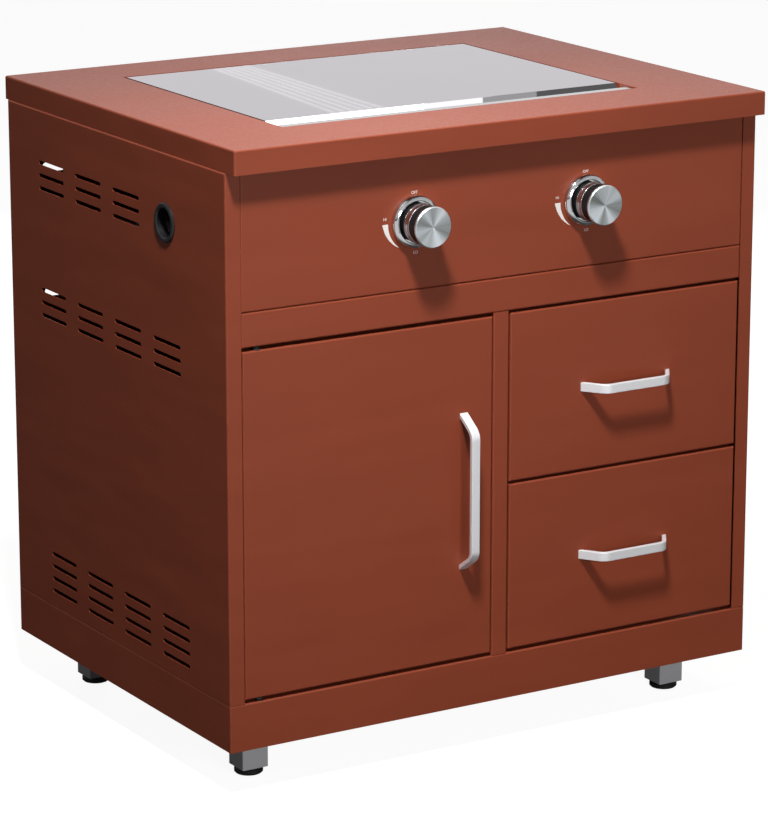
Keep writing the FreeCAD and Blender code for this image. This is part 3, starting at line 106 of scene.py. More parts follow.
# %% [markdown]
# ## The studio
# A product photographer stands the object before a bright backdrop in a dim room. What the camera sees round the
# object is white. What the metal reflects is white where the tall backdrop stands, behind the object and a little to
# its right, and dim elsewhere, with a few bright patches on the photographer's side. Those patches give the chrome its
# sparkle. The upper walls and a patch straight overhead are a mid grey, which keeps the lid from looking black when it
# is seen from another side. The soft light that fills the shadows is weaker again. One world shader holds all of it,
# told apart by the kind of ray that arrives.

# %% World
BACKDROP_TURN = math.radians(16)
BEHIND = Vector((math.sin(YAW + BACKDROP_TURN), math.cos(YAW + BACKDROP_TURN), 0.0))
# Radiances, where 1 is paper white.
ROOM_DIM = 0.02
ROOM_SHADE = 0.14
ROOM_BRIGHT = 0.70
UPPER_WALLS = 0.50
FILL_LIGHT = 0.10
# Cosines of the angle off BEHIND: the backdrop's soft edge, and the turn to the photographer's side of the room.
BACKDROP_EDGE = (0.885, 0.93)
FRONT_HALF_EDGE = (0.1, -0.2)
# How steeply a direction rises, where 1 is straight up.
UPPER_WALLS_EDGE = (0.04, 0.20)
CEILING_EDGE = (0.80, 0.68)
OVERHEAD_EDGE = (0.86, 0.93)
# The bright patches: how many there are to a unit of direction, and the noise that counts as one.
PATCH_SCALE = 3.2
PATCH_EDGE = (0.48, 0.58)

world = bpy.data.worlds.new("dim_room_with_backdrop")
scene.world = world
world.use_nodes = True
tree = world.node_tree
tree.nodes.clear()
rays = add(tree, "ShaderNodeLightPath")
mirror_rays = add(tree, "ShaderNodeMath", {0: rays.outputs["Is Glossy Ray"], 1: rays.outputs["Is Transmission Ray"]},
                  operation="MAXIMUM")
seen = add(tree, "ShaderNodeMath", {0: mirror_rays.outputs[0], 1: rays.outputs["Is Camera Ray"]}, operation="MAXIMUM")
direction = add(tree, "ShaderNodeTexCoord").outputs["Generated"]
level = add(tree, "ShaderNodeVectorMath", {0: direction, 1: (1.0, 1.0, 0.0)}, operation="MULTIPLY")
bearing = add(tree, "ShaderNodeVectorMath", {0: level.outputs[0]}, operation="NORMALIZE")
towards = add(tree, "ShaderNodeVectorMath", {0: bearing.outputs[0], 1: BEHIND}, operation="DOT_PRODUCT")
patches = add(tree, "ShaderNodeTexNoise", {"Vector": direction, "Scale": PATCH_SCALE, "Detail": 2.0})
panes = add(tree, "ShaderNodeMapRange", {"Value": patches.outputs["Fac"], "From Min": PATCH_EDGE[0],
            "From Max": PATCH_EDGE[1], "To Min": ROOM_SHADE, "To Max": ROOM_BRIGHT})
front_half = add(tree, "ShaderNodeMapRange", {"Value": towards.outputs["Value"], "From Min": FRONT_HALF_EDGE[0],
                 "From Max": FRONT_HALF_EDGE[1]})
walls = add(tree, "ShaderNodeMix", {0: front_half.outputs["Result"], 2: ROOM_DIM, 3: panes.outputs["Result"]})
rise = add(tree, "ShaderNodeSeparateXYZ", {0: direction})
upper = add(tree, "ShaderNodeMapRange", {"Value": rise.outputs["Z"], "From Min": UPPER_WALLS_EDGE[0],
            "From Max": UPPER_WALLS_EDGE[1], "To Max": UPPER_WALLS}, interpolation_type="SMOOTHSTEP")
below_ceiling = add(tree, "ShaderNodeMapRange", {"Value": rise.outputs["Z"], "From Min": CEILING_EDGE[0],
                    "From Max": CEILING_EDGE[1]})
band = add(tree, "ShaderNodeMath", {0: upper.outputs["Result"], 1: below_ceiling.outputs["Result"]},
           operation="MULTIPLY")
overhead = add(tree, "ShaderNodeMapRange", {"Value": rise.outputs["Z"], "From Min": OVERHEAD_EDGE[0],
               "From Max": OVERHEAD_EDGE[1], "To Max": UPPER_WALLS})
high = add(tree, "ShaderNodeMath", {0: band.outputs[0], 1: overhead.outputs["Result"]}, operation="MAXIMUM")
room = add(tree, "ShaderNodeMath", {0: walls.outputs[0], 1: high.outputs[0]}, operation="MAXIMUM")
backdrop = add(tree, "ShaderNodeMapRange", {"Value": towards.outputs["Value"], "From Min": BACKDROP_EDGE[0],
               "From Max": BACKDROP_EDGE[1], "To Min": room.outputs[0], "To Max": 1.0},
               interpolation_type="SMOOTHSTEP")
white = add(tree, "ShaderNodeMath", {0: backdrop.outputs["Result"], 1: rays.outputs["Is Camera Ray"]},
            operation="MAXIMUM")
shown = add(tree, "ShaderNodeBackground", {"Color": linear("#FFFFFF"), "Strength": white.outputs[0]})
fill = add(tree, "ShaderNodeBackground", {"Color": linear("#FFFFFF"), "Strength": FILL_LIGHT})
either = add(tree, "ShaderNodeMixShader", {0: seen.outputs[0], 1: fill.outputs[0], 2: shown.outputs[0]})
add(tree, "ShaderNodeOutputWorld", {"Surface": either.outputs[0]})
print("world nodes:", len(tree.nodes))

# %% [markdown]
# ## The floor
# The floor is a sheet of white paper. It glows for the camera, so that it ends in the same white as the backdrop, and
# it still scatters light, so that the object's shadow stays on it. The cabinet's satin paint mirrors the paper softly:
# bright far in front and under the backdrop, fainter far to the left, and dim close by. For the light that bounces
# back onto the cabinet it is a dim grey, as the photograph shows no bright glow from below.

# %% Floor
FLOOR_HALF = 40.0
FLOOR_Z = -0.0005
FLOOR_GLOW = 0.93
FRONT_PAPER = 0.66
LEFT_PAPER = 0.06
# Where the brighter paper begins and where it is full: in metres along Y, in metres to the left front, and for the far
# left as a cosine of the angle off BEHIND.
FAR_FRONT_EDGE = (-1.3, -2.6)
LEFT_FRONT_WAY = (-0.7, -0.7, 0.0)
LEFT_FRONT_EDGE = (0.55, 1.0)
FAR_LEFT_EDGE = (0.06, 0.16)
# Paper fibres are far finer, and are drawn as clouds 40 mm wide so that they show.
FIBRE_MM = 40
floor_mesh = bpy.data.meshes.new("studio_floor")
corners = [(-FLOOR_HALF, -FLOOR_HALF), (FLOOR_HALF, -FLOOR_HALF), (FLOOR_HALF, FLOOR_HALF), (-FLOOR_HALF, FLOOR_HALF)]
floor_mesh.from_pydata([(x, y, FLOOR_Z) for x, y in corners], [], [(0, 1, 2, 3)])
floor = bpy.data.objects.new("studio_floor", floor_mesh)
scene.collection.objects.link(floor)

paper = bpy.data.materials.new("white_paper_floor")
paper.use_nodes = True
tree = paper.node_tree
tree.nodes.clear()
rays = add(tree, "ShaderNodeLightPath")
mirror_rays = add(tree, "ShaderNodeMath", {0: rays.outputs["Is Glossy Ray"], 1: rays.outputs["Is Transmission Ray"]},
                  operation="MAXIMUM")
seen = add(tree, "ShaderNodeMath", {0: mirror_rays.outputs[0], 1: rays.outputs["Is Camera Ray"]}, operation="MAXIMUM")
place = add(tree, "ShaderNodeNewGeometry").outputs["Position"]
bearing = add(tree, "ShaderNodeVectorMath", {0: place}, operation="NORMALIZE")
off_axis = add(tree, "ShaderNodeVectorMath", {0: bearing.outputs[0], 1: BEHIND}, operation="DOT_PRODUCT")
axes = add(tree, "ShaderNodeSeparateXYZ", {0: place})
far_front = add(tree, "ShaderNodeMapRange", {"Value": axes.outputs["Y"], "From Min": FAR_FRONT_EDGE[0],
                "From Max": FAR_FRONT_EDGE[1], "To Min": ROOM_DIM, "To Max": FRONT_PAPER},
                interpolation_type="SMOOTHSTEP")
leftward = add(tree, "ShaderNodeVectorMath", {0: place, 1: LEFT_FRONT_WAY}, operation="DOT_PRODUCT")
left_front = add(tree, "ShaderNodeMapRange", {"Value": leftward.outputs["Value"], "From Min": LEFT_FRONT_EDGE[0],
                 "From Max": LEFT_FRONT_EDGE[1], "To Min": ROOM_DIM, "To Max": FRONT_PAPER},
                 interpolation_type="SMOOTHSTEP")
far_left = add(tree, "ShaderNodeMapRange", {"Value": off_axis.outputs["Value"], "From Min": FAR_LEFT_EDGE[0],
               "From Max": FAR_LEFT_EDGE[1], "To Min": ROOM_DIM, "To Max": LEFT_PAPER},
               interpolation_type="SMOOTHSTEP")
in_front = add(tree, "ShaderNodeMath", {0: far_front.outputs["Result"], 1: left_front.outputs["Result"]},
               operation="MAXIMUM")
around = add(tree, "ShaderNodeMath", {0: in_front.outputs[0], 1: far_left.outputs["Result"]}, operation="MAXIMUM")
lit_paper = add(tree, "ShaderNodeMapRange", {"Value": off_axis.outputs["Value"], "From Min": BACKDROP_EDGE[0],
                "From Max": BACKDROP_EDGE[1], "To Min": around.outputs[0], "To Max": FLOOR_GLOW},
                interpolation_type="SMOOTHSTEP")
camera_glow = add(tree, "ShaderNodeMath", {0: rays.outputs["Is Camera Ray"], 1: FLOOR_GLOW}, operation="MULTIPLY")
strength = add(tree, "ShaderNodeMath", {0: lit_paper.outputs["Result"], 1: camera_glow.outputs[0]}, operation="MAXIMUM")
glow = add(tree, "ShaderNodeEmission", {"Color": linear("#FFFFFF"), "Strength": strength.outputs[0]})
fibres = add(tree, "ShaderNodeTexNoise", {"Vector": place, "Scale": 1000 / FIBRE_MM})
pale = add(tree, "ShaderNodeMix", {0: fibres.outputs["Fac"], 6: linear("#8C8C8C"), 7: linear("#909090")},
           data_type="RGBA")
for_camera = add(tree, "ShaderNodeMix", {0: rays.outputs["Is Camera Ray"], 6: linear("#303030"), 7: pale.outputs[2]},
                 data_type="RGBA")
paper_scatter = add(tree, "ShaderNodeBsdfDiffuse", {"Color": for_camera.outputs[2]})
paper_seen = add(tree, "ShaderNodeAddShader", {0: paper_scatter.outputs[0], 1: glow.outputs[0]})
paper_bounce = add(tree, "ShaderNodeBsdfDiffuse", {"Color": linear("#585858")})
either = add(tree, "ShaderNodeMixShader", {0: seen.outputs[0], 1: paper_bounce.outputs[0], 2: paper_seen.outputs[0]})
add(tree, "ShaderNodeOutputMaterial", {"Surface": either.outputs[0]})
floor_mesh.materials.append(paper)
print("floor side in metres:", 2 * FLOOR_HALF)

# %% [markdown]
# ## The lamps
# The knobs throw long, fairly sharp shadows down and to the right, so the key lamp is small and hangs high at the front
# left. A grid on it keeps its light off the back. A wider lamp in front fills the shadows, and a strip lamp over the
# worktop gives the pale glow along its front edge. The sloped front edge of the lid is a mirror that looks up and to
# the right, so it shows a row of cards there, from white to dark grey. The fine white lines on the lid are the mirror
# image of a row of tubes that hangs far behind the object. A low lamp behind it lights the back for the other views.

# %% Lamps
def lamp(name, place, aim, watts, size, length=None, spread=180):
    """An area lamp at a place, turned to a point. A grid on its front can narrow its spread, in degrees."""
    data = bpy.data.lights.new(name, "AREA")
    data.energy = watts
    data.size = size
    if length:
        data.shape = "RECTANGLE"
        data.size_y = length
    data.spread = math.radians(spread)
    light = bpy.data.objects.new(name, data)
    scene.collection.objects.link(light)
    light.location = place
    light.rotation_mode = "QUATERNION"
    light.rotation_quaternion = (Vector(aim) - Vector(place)).to_track_quat("-Z", "Y")
    light.visible_camera = False
    return light


# Each lamp's place and the point it is turned to, in metres, then its watts and its size in metres.
lamp("key_lamp", (-1.08, -1.60, 3.36), (-0.1, -0.28, 0.52), 25.5, 0.37, spread=83)
lamp("worktop_strip_lamp", (-0.14, -0.24, 1.32), (-0.14, -0.24, 0.89), 1.7, 0.75, 0.20)
lamp("front_fill_lamp", (-0.30, -3.40, 1.10), (-0.1, -0.3, 0.45), 29.0, 0.6)
lamp("back_fill_lamp", (1.70, 2.90, 0.66), (0.1, 0.3, 0.42), 22.0, 0.6)

CARD_HEIGHT = 2.40
CARD_LENGTH = 1.0
CARD_Y = -0.50
# Each card's left and right edge in metres, and its radiance, where 1 is paper white.
CARDS = {"white_card": (0.52, 1.04, 2.0), "grey_card": (1.04, 1.16, 0.6), "dark_card": (1.16, 1.90, 0.16)}
for name, (left, right, radiance) in CARDS.items():
    middle = (left + right) / 2
    watts = radiance * math.pi * (right - left) * CARD_LENGTH
    lamp(name, (middle, CARD_Y, CARD_HEIGHT), (middle, CARD_Y, 0.0), watts, right - left, CARD_LENGTH)

# The tubes' ends are where the lid's mirror throws the ends of the photograph's white lines.
TUBE_COUNT = 6
TUBE_HEIGHT = 2.40
TUBE_WIDTH = 0.012
TUBE_WATTS = 0.020
NEAR_MIDDLE, NEAR_PITCH = Vector((4.158, 6.91)), 0.0401
FAR_MIDDLE, FAR_PITCH = Vector((4.224, 8.08)), 0.0274
for number in range(TUBE_COUNT):
    step = number - (TUBE_COUNT - 1) / 2
    near = NEAR_MIDDLE + Vector((step * NEAR_PITCH, 0.0))
    far = FAR_MIDDLE + Vector((step * FAR_PITCH, 0.0))
    middle = (near + far) / 2
    tube = lamp(f"ceiling_tube_{number + 1}", (middle.x, middle.y, TUBE_HEIGHT), (middle.x, middle.y, 0.0),
                TUBE_WATTS, TUBE_WIDTH, (far - near).length)
    tube.rotation_quaternion = Quaternion((0, 0, 1), math.atan2(near.x - far.x, far.y - near.y))

# %% [markdown]
# ## One way to start a finish
# Most finishes share a build. Their colour drifts in soft patches, because no coat is even. A finer grain changes
# their gloss and stands up a little from the surface. The grain can be longer along one axis, as in brushed metal.
# Sizes are in millimetres on the real object, so a pattern keeps its scale wherever it is used.

# %% Finish helper
# Noise seldom leaves this span, so the gloss is spread over it.
NOISE_SPAN = (0.25, 0.75)


def make_finish(name, dark, light, roughness, grain_mm, height_mm, patch_mm=(70, 70, 70), fixed=None):
    """A finish whose colour runs from dark to light in patches, with grain in its gloss and in its height."""
    material = bpy.data.materials.new(name)
    material.use_nodes = True
    tree = material.node_tree
    shader = tree.nodes["Principled BSDF"]
    for socket, value in (fixed or {}).items():
        shader.inputs[socket].default_value = value
    place = add(tree, "ShaderNodeTexCoord").outputs["Object"]
    broad = add(tree, "ShaderNodeVectorMath", {0: place, 1: [1000 / mm for mm in patch_mm]}, operation="MULTIPLY")
    patches = add(tree, "ShaderNodeTexNoise", {"Vector": broad.outputs[0], "Scale": 1.0, "Detail": 3.0})
    colour = add(tree, "ShaderNodeMix", {0: patches.outputs["Fac"], 6: linear(dark), 7: linear(light)},
                 data_type="RGBA")
    fine = add(tree, "ShaderNodeVectorMath", {0: place, 1: [1000 / mm for mm in grain_mm]}, operation="MULTIPLY")
    grain = add(tree, "ShaderNodeTexNoise", {"Vector": fine.outputs[0], "Scale": 1.0, "Detail": 2.0})
    gloss = add(tree, "ShaderNodeMapRange", {"Value": grain.outputs["Fac"], "From Min": NOISE_SPAN[0],
                "From Max": NOISE_SPAN[1], "To Min": roughness[0], "To Max": roughness[1]})
    bump = add(tree, "ShaderNodeBump", {"Strength": 1.0, "Distance": height_mm * MM, "Height": grain.outputs["Fac"]})
    tree.links.new(colour.outputs[2], shader.inputs["Base Color"])
    tree.links.new(gloss.outputs["Result"], shader.inputs["Roughness"])
    tree.links.new(bump.outputs["Normal"], shader.inputs["Normal"])
    return material


def dress(material, *names):
    """Gives CAD nodes this finish."""
    for name in names:
        NODES[name].material_slots[0].material = material
    print(material.name, "on", len(names), "nodes")


print("nodes to dress:", len(NODES))

# %% [markdown]
# ## Terracotta powder coat
# Polyester powder is sprayed onto the folded sheets and baked until it flows together. It dries to a satin skin with
# a fine orange peel, and on these wide panels the sheet below is never quite flat. A flat colour would look like
# plastic film. So the finish gets orange peel, a faint drift of colour, and very low waves in the sheet itself.

# %% Powder coat
# The sheet's own waves: their length along each axis, and the height of the whole noise. The noise keeps to a part of
# that, so the waves are a few tenths of a millimetre deep.
WAVE_MM = (300, 200, 60)
WAVE_HEIGHT_MM = 1.6
# Satin powder coat gives a soft, broad shine. The peel is about 1.5 mm wide, and is drawn at 4 mm so that it shows.
powder_coat = make_finish(
    "terracotta_powder_coat", dark="#853D27", light="#8D412A", roughness=(0.38, 0.48), grain_mm=(4, 4, 4),
    height_mm=0.008, patch_mm=(160, 160, 90), fixed={"IOR": 1.5, "Specular IOR Level": 0.28})
tree = powder_coat.node_tree
place = add(tree, "ShaderNodeTexCoord").outputs["Object"]
long = add(tree, "ShaderNodeVectorMath", {0: place, 1: [1000 / mm for mm in WAVE_MM]}, operation="MULTIPLY")
waves = add(tree, "ShaderNodeTexNoise", {"Vector": long.outputs[0], "Scale": 1.0, "Detail": 1.0})
peel = next(node for node in tree.nodes if node.bl_idname == "ShaderNodeBump")
sheet = add(tree, "ShaderNodeBump", {"Strength": 1.0, "Distance": WAVE_HEIGHT_MM * MM, "Height": waves.outputs["Fac"]})
tree.links.new(sheet.outputs["Normal"], peel.inputs["Normal"])
dress(powder_coat, "worktop", "left_side_panel", "right_side_panel", "back_panel", "control_panel", "middle_rail",
      "centre_stile", "plinth", "bottom_panel", "partition", "door_panel", "door_liner", "lower_drawer_front",
      "upper_drawer_front")

# %% [markdown]
# ## Stainless steel
# The lid is stainless sheet, polished until it mirrors the room, with only a trace of the rolling lines. The tray
# under it is the same steel with a satin brush. The grain runs from front to back.

# %% Stainless steel
# Polished steel gives a slightly grey mirror, and reflects a little less at low angles than the plain formula says,
# so its edge tint is below white. Rolling lines are finer than a pixel, so they are drawn 3 mm apart.
polished_steel = make_finish(
    "polished_stainless_steel", dark="#BBB9BC", light="#C0BEC1", roughness=(0.010, 0.018), grain_mm=(3, 250, 3),
    height_mm=0.00005, patch_mm=(120, 300, 120), fixed={"Metallic": 1.0, "Specular Tint": linear("#ECEAED")})
dress(polished_steel, "lid")
# Brushed steel spreads a reflection into a soft glow. Its lines are drawn 1.5 mm apart.
brushed_steel = make_finish(
    "brushed_stainless_steel", dark="#BDBCBE", light="#C8C7C9", roughness=(0.20, 0.32), grain_mm=(1.5, 120, 1.5),
    height_mm=0.004, patch_mm=(90, 200, 90), fixed={"Metallic": 1.0})
dress(brushed_steel, "hob_tray")

# %% [markdown]
# ## Handles and other bright metal
# The strap handles are bent from steel bar and finished in a satin silver. The bezels round the knobs are pressed
# steel with bright chrome plate. Screws and pins have plain zinc plate, and the hidden sheet is galvanised, with the
# pale spangle that zinc makes as it sets.

# %% Bright metal
# Satin silver is pale and scatters light widely, so a handle stays bright from every side.
satin_silver = make_finish(
    "satin_silver_steel", dark="#E8E8EB", light="#F0F0F2", roughness=(0.34, 0.46), grain_mm=(2, 2, 2),
    height_mm=0.004, fixed={"Metallic": 0.3})
dress(satin_silver, "door_handle", "lower_drawer_handle", "upper_drawer_handle")
# Chrome is a clean, cool mirror that shows the room in light and dark patches.
chrome_plate = make_finish(
    "bright_chrome_plate", dark="#D9DBDE", light="#E2E4E6", roughness=(0.05, 0.10), grain_mm=(6, 6, 6),
    height_mm=0.01, fixed={"Metallic": 1.0})
dress(chrome_plate, "knob_bezels")
# Bright zinc plate is greyer and softer than chrome.
zinc_plate = make_finish(
    "zinc_plated_steel", dark="#A9ABAD", light="#BCBEC0", roughness=(0.22, 0.36), grain_mm=(1, 1, 1),
    height_mm=0.01, patch_mm=(8, 8, 8), fixed={"Metallic": 1.0})
dress(zinc_plate, "door_handle_screws", "lower_drawer_screws", "upper_drawer_screws",
      "lid_hinge_pins", "panel_screws", "left_valve_stem", "right_valve_stem")
# Galvanised sheet has spangles about 12 mm across, each a slightly different grey.
galvanised = make_finish(
    "galvanised_sheet_steel", dark="#9DA1A3", light="#BFC2C4", roughness=(0.30, 0.48), grain_mm=(12, 12, 12),
    height_mm=0.01, patch_mm=(14, 14, 14), fixed={"Metallic": 1.0})
dress(galvanised, "heat_shield", "lower_drawer_box", "upper_drawer_box", "lower_drawer_runners",
      "upper_drawer_runners", "lower_middle_runners", "upper_middle_runners", "fixed_runners", "runner_brackets")

# Phosphated steel is a dull charcoal black, so the pins do not shine in the gap above the door.
black_steel = make_finish(
    "phosphated_black_steel", dark="#121213", light="#1C1C1D", roughness=(0.50, 0.66), grain_mm=(1, 1, 1),
    height_mm=0.01, fixed={"IOR": 1.5, "Specular IOR Level": 0.2})
dress(black_steel, "door_pivot_pins")

# %% [markdown]
# ## The gas train
# Gas comes in through a brass fitting, runs along a painted steel pipe to two brass valves, and crosses to the
# burners through cast aluminium tubes. The burner caps and pan supports are cast iron under black enamel, and the
# spark comes from a steel tip in a white ceramic sleeve.

# %% Gas train
# Turned brass is warm and quite shiny, with fine tool marks.
brass = make_finish(
    "turned_brass", dark="#B08A4C", light="#C39E5E", roughness=(0.22, 0.36), grain_mm=(1.2, 8, 8),
    height_mm=0.006, patch_mm=(20, 20, 20), fixed={"Metallic": 1.0})
dress(brass, "gas_valves", "gas_inlet_fitting", "left_valve_collar", "right_valve_collar")
# Sand-cast aluminium is dull, pale and rough to the touch.
cast_aluminium = make_finish(
    "sand_cast_aluminium", dark="#A3A4A5", light="#B8B9BA", roughness=(0.45, 0.65), grain_mm=(1.5, 1.5, 1.5),
    height_mm=0.12, patch_mm=(25, 25, 25), fixed={"Metallic": 1.0})
dress(cast_aluminium, "burner_bases", "mixing_tubes")
# Vitreous enamel is a thin black glass over rough iron, so its shine has a slight ripple.
black_enamel = make_finish(
    "black_vitreous_enamel", dark="#131315", light="#1C1C1F", roughness=(0.20, 0.38), grain_mm=(3, 3, 3),
    height_mm=0.08, fixed={"IOR": 1.52})
dress(black_enamel, "burner_caps", "pan_supports")
# Glazed alumina is a clean, slightly warm white.
alumina = make_finish(
    "glazed_alumina", dark="#DDD8CF", light="#E8E4DC", roughness=(0.18, 0.28), grain_mm=(2, 2, 2),
    height_mm=0.01, fixed={"IOR": 1.6})
dress(alumina, "igniter_electrodes")
# Gas pipe is black with a thin oily varnish.
pipe_black = make_finish(
    "varnished_gas_pipe", dark="#1B1B1C", light="#28282A", roughness=(0.35, 0.55), grain_mm=(2, 2, 2),
    height_mm=0.05, fixed={"IOR": 1.5})
dress(pipe_black, "gas_manifold")

# %% [markdown]
# ## Plastic, rubber and leg paint
# The hose grommet and the door catch are moulded in black plastic with a light spark texture. The feet and bumpers
# are rubber, which is duller. The door turns in black nylon bushes. The legs have a grey metallic paint.

# %% Plastic, rubber and leg paint
# Spark-eroded moulds leave a fine matt grain on the plastic.
moulded_black = make_finish(
    "moulded_black_polypropylene", dark="#141416", light="#1D1D20", roughness=(0.34, 0.50), grain_mm=(1.5, 1.5, 1.5),
    height_mm=0.03, fixed={"IOR": 1.49})
dress(moulded_black, "hose_grommet", "door_catch")
# The knob bodies are a smoother plastic with a low satin shine.
knob_black = make_finish(
    "satin_black_phenolic", dark="#121113", light="#1A191B", roughness=(0.40, 0.50), grain_mm=(4, 4, 4),
    height_mm=0.01, fixed={"IOR": 1.55, "Specular IOR Level": 0.2})
dress(knob_black, "left_knob", "right_knob")
# Rubber is dull, with a dusty bloom on it.
rubber = make_finish(
    "black_rubber", dark="#0F0F10", light="#1C1C1D", roughness=(0.45, 0.65), grain_mm=(1.5, 1.5, 1.5),
    height_mm=0.04, fixed={"IOR": 1.52})
dress(rubber, "front_left_foot", "front_right_foot", "back_left_foot", "back_right_foot", "lid_bumpers")
# Black nylon is waxy, so its shine is broad and soft.
nylon = make_finish(
    "black_nylon", dark="#161617", light="#1F1F20", roughness=(0.38, 0.50), grain_mm=(2, 2, 2),
    height_mm=0.02, fixed={"IOR": 1.53})
dress(nylon, "door_pivot_bushes")
# Metallic grey paint has a few small flakes under a lacquer, so it is a pale grey with a slight glint.
leg_grey = make_finish(
    "metallic_grey_leg_paint", dark="#D6D6DA", light="#E2E2E6", roughness=(0.30, 0.42), grain_mm=(1.5, 1.5, 1.5),
    height_mm=0.02, fixed={"Metallic": 0.12})
dress(leg_grey, "legs")

# %% [markdown]
# ## Spun knob faces, with painted highlight fans
# Each knob ends in an aluminium cap, faced off on a lathe. The tool leaves rings too fine to see, but they stretch
# every highlight into a streak from the centre to the rim, so the face shows fans of light and dark. Drawing the
# rings would need thousands of them. The shader is told which way they run instead, with a tangent that goes round
# the knob's axis. The fans and streaks are also painted into the face's colour as painted highlights: a noise that
# depends only on the direction from the centre turns the colour from dark grey to a bluish white.

# %% Spun aluminium
KNOB_Z = (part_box("left_knob_face")[0].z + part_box("left_knob_face")[1].z) / 2
KNOB_X = {side: sum(corner.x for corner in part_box(side + "_knob_face")) / 2 for side in ("left", "right")}
# Painted highlights: noise read on a circle of radius 1 gives wide painted fans of light and dark, and finer
# painted streaks that take a small share of the whole.
PAINTED_FAN_SCALE = 1.2
PAINTED_FAN_STEP = 5.0
PAINTED_STREAK_SCALE = 14.0
PAINTED_STREAK_SHARE = 0.18
PAINTED_FAN_EDGE = (0.38, 0.66)
for number, (side, centre_x) in enumerate(KNOB_X.items()):
    # Bare aluminium is a cool, pale metal. The lathe's rings smear its mirror round the axis.
    spun = bpy.data.materials.new(side + "_spun_aluminium_painted_fans")
    spun.use_nodes = True
    tree = spun.node_tree
    shader = tree.nodes["Principled BSDF"]
    shader.inputs["Metallic"].default_value = 0.7
    shader.inputs["Roughness"].default_value = 0.34
    shader.inputs["Anisotropic"].default_value = 0.7
    place = add(tree, "ShaderNodeTexCoord").outputs["Object"]
    out = add(tree, "ShaderNodeVectorMath", {0: place, 1: Vector((centre_x, 0.0, KNOB_Z))}, operation="SUBTRACT")
    flat = add(tree, "ShaderNodeVectorMath", {0: out.outputs[0], 1: (1.0, 0.0, 1.0)}, operation="MULTIPLY")
    spoke = add(tree, "ShaderNodeVectorMath", {0: flat.outputs[0]}, operation="NORMALIZE")
    round_axis = add(tree, "ShaderNodeVectorMath", {0: spoke.outputs[0], 1: (0.0, -1.0, 0.0)},
                     operation="CROSS_PRODUCT")
    # The fourth number of the noise differs, so that no two knobs show the same painted fans.
    painted_fans = add(tree, "ShaderNodeTexNoise", {"Vector": spoke.outputs[0], "W": PAINTED_FAN_STEP * number, "Scale": PAINTED_FAN_SCALE,
               "Detail": 0.5}, noise_dimensions="4D")
    painted_streaks = add(tree, "ShaderNodeTexNoise", {"Vector": spoke.outputs[0], "Scale": PAINTED_STREAK_SCALE, "Detail": 3.0})
    painted_fans_and_streaks = add(tree, "ShaderNodeMix", {0: PAINTED_STREAK_SHARE, 2: painted_fans.outputs["Fac"], 3: painted_streaks.outputs["Fac"]})
    share = add(tree, "ShaderNodeMapRange", {"Value": painted_fans_and_streaks.outputs[0], "From Min": PAINTED_FAN_EDGE[0],
                "From Max": PAINTED_FAN_EDGE[1]})
    # The painted highlight colour: dark grey where a painted fan is dark, bluish white where it is lit.
    colour = add(tree, "ShaderNodeMix", {0: share.outputs["Result"], 6: linear("#858987"), 7: linear("#E4EBF1")},
                 data_type="RGBA")
    tree.links.new(colour.outputs[2], shader.inputs["Base Color"])
    tree.links.new(round_axis.outputs[0], shader.inputs["Tangent"])
    dress(spun, side + "_knob_face")

# %% [markdown]
# ## Bright bands on the knobs
# A thin chrome band sits round each knob's black body, between the bezel and the face. It is a rolled ring, so its
# section is drawn once and turned round the knob's axis.

# %% Knob bands
# The front face of the control panel, in metres.
FRONT_Y = -0.2975
TURN_STEPS = 96


def turned(name, section, centre_x, centre_z):
    """A ring: section points of radius and height off the panel, turned round an axis along Y."""
    ring = bmesh.new()
    rows = []
    for step in range(TURN_STEPS):
        angle = 2 * math.pi * step / TURN_STEPS
        rows.append([ring.verts.new((centre_x + r * MM * math.cos(angle), FRONT_Y - proud * MM,
                                     centre_z + r * MM * math.sin(angle))) for r, proud in section])
    for step in range(TURN_STEPS):
        here, there = rows[step], rows[(step + 1) % TURN_STEPS]
        for k in range(len(section)):
            after = (k + 1) % len(section)
            ring.faces.new((here[k], here[after], there[after], there[k]))
    bmesh.ops.recalc_face_normals(ring, faces=ring.faces)
    for face in ring.faces:
        face.smooth = True
    mesh = bpy.data.meshes.new(name)
    ring.to_mesh(mesh)
    ring.free()
    piece = bpy.data.objects.new(name, mesh)
    scene.collection.objects.link(piece)
    return piece


# Radius and height off the panel, in millimetres: a sleeve with rolled edges.
BAND_SECTION = [(26.3, 17.0), (26.9, 17.0), (27.3, 17.5), (27.5, 19.0), (27.5, 27.0), (27.3, 28.5), (26.9, 29.0),
                (26.3, 29.0)]
# Satin chrome is a darker, softer mirror than the bezels.
satin_chrome = make_finish(
    "satin_chrome_plate", dark="#A9A3A6", light="#B9B4B7", roughness=(0.18, 0.26), grain_mm=(6, 6, 6),
    height_mm=0.01, fixed={"Metallic": 1.0})
for side, centre_x in KNOB_X.items():
    band = turned(side + "_knob_band", BAND_SECTION, centre_x, KNOB_Z)
    band.data.materials.append(satin_chrome)
    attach(band, side + "_control")
    print(band.name, "faces:", len(band.data.polygons))

# %% [markdown]
# ## Dial marks
# White ink on the panel tells the cook where each knob points: OFF above, HI to the left, LO below, and a wedge that
# narrows as the flame does. Ink has hardly any thickness, so the marks are raised by only a few hundredths of a
# millimetre. The letters come from Blender's own font, turned into mesh.

# %% Dial marks
INK_MM = 0.05
LETTER_MM = 5.6
# How far each word stands to the right of the knob's axis and above it, in millimetres.
MARKS = {"OFF": (0.0, 39.0), "HI": (-46.0, 7.0), "LO": (2.0, -42.5)}
WEDGE_INNER_MM = 41.0
WEDGE_OUTER_MM = 50.0
WEDGE_TIP_MM = 0.2
WEDGE_START = math.radians(180)
WEDGE_END = math.radians(234)
WEDGE_STEPS = 24
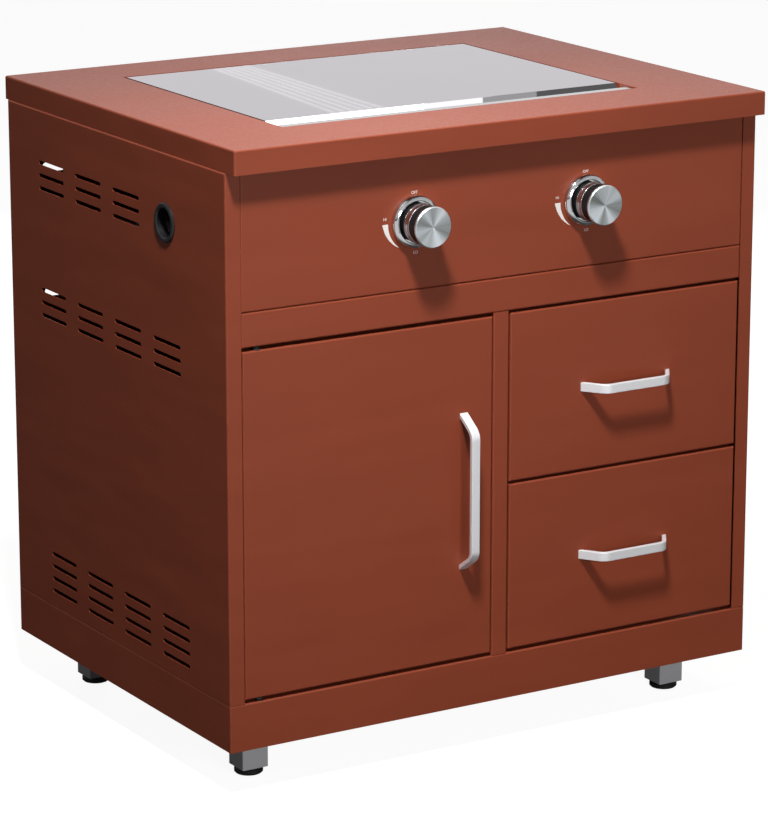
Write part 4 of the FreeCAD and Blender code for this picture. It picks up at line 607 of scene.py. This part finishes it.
# Screen-printed ink is a chalky white, with small gaps where the paint's peel shows.
white_ink = make_finish(
    "white_screen_ink", dark="#DFD9D4", light="#EFEAE6", roughness=(0.50, 0.62), grain_mm=(1, 1, 1),
    height_mm=0.01, patch_mm=(6, 6, 6), fixed={"IOR": 1.5, "Specular IOR Level": 0.3})


def letters(words, x_mm, z_mm):
    """Mesh of a printed word, facing forward, centred on a place on the panel."""
    curve = bpy.data.curves.new("dial_word", "FONT")
    curve.body = words
    curve.size = LETTER_MM * MM
    curve.extrude = INK_MM * MM / 2
    curve.align_x = "CENTER"
    curve.align_y = "CENTER"
    shape = bpy.data.objects.new("dial_word", curve)
    mesh = bpy.data.meshes.new_from_object(shape)
    bpy.data.objects.remove(shape)
    bpy.data.curves.remove(curve)
    middle = FRONT_Y - INK_MM * MM / 2
    mesh.transform(Matrix.Translation((x_mm * MM, middle, z_mm * MM)) @ Matrix.Rotation(math.pi / 2, 4, "X"))
    return mesh


for side, centre_x in KNOB_X.items():
    marks = bmesh.new()
    for words, (right, up) in MARKS.items():
        word = letters(words, centre_x / MM + right, KNOB_Z / MM + up)
        marks.from_mesh(word)
        bpy.data.meshes.remove(word)
    rim = []
    for step in range(WEDGE_STEPS + 1):
        share = step / WEDGE_STEPS
        angle = WEDGE_START + (WEDGE_END - WEDGE_START) * share
        outer = WEDGE_OUTER_MM + (WEDGE_INNER_MM + WEDGE_TIP_MM - WEDGE_OUTER_MM) * share
        rim.append([[marks.verts.new((centre_x + r * MM * math.cos(angle), y, KNOB_Z + r * MM * math.sin(angle)))
                     for r in (WEDGE_INNER_MM, outer)] for y in (FRONT_Y - INK_MM * MM, FRONT_Y)])
    for here, there in zip(rim, rim[1:]):
        around = [here[0][0], here[0][1], here[1][1], here[1][0]]
        onward = [there[0][0], there[0][1], there[1][1], there[1][0]]
        for k in range(4):
            marks.faces.new((around[k], around[(k + 1) % 4], onward[(k + 1) % 4], onward[k]))
    for end in (rim[0], rim[-1]):
        marks.faces.new((end[0][0], end[0][1], end[1][1], end[1][0]))
    bmesh.ops.recalc_face_normals(marks, faces=marks.faces)
    mesh = bpy.data.meshes.new(side + "_dial_marks")
    marks.to_mesh(mesh)
    marks.free()
    dial = bpy.data.objects.new(side + "_dial_marks", mesh)
    scene.collection.objects.link(dial)
    mesh.materials.append(white_ink)
    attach(dial, "cabinet")
    print(dial.name, "faces:", len(mesh.polygons))
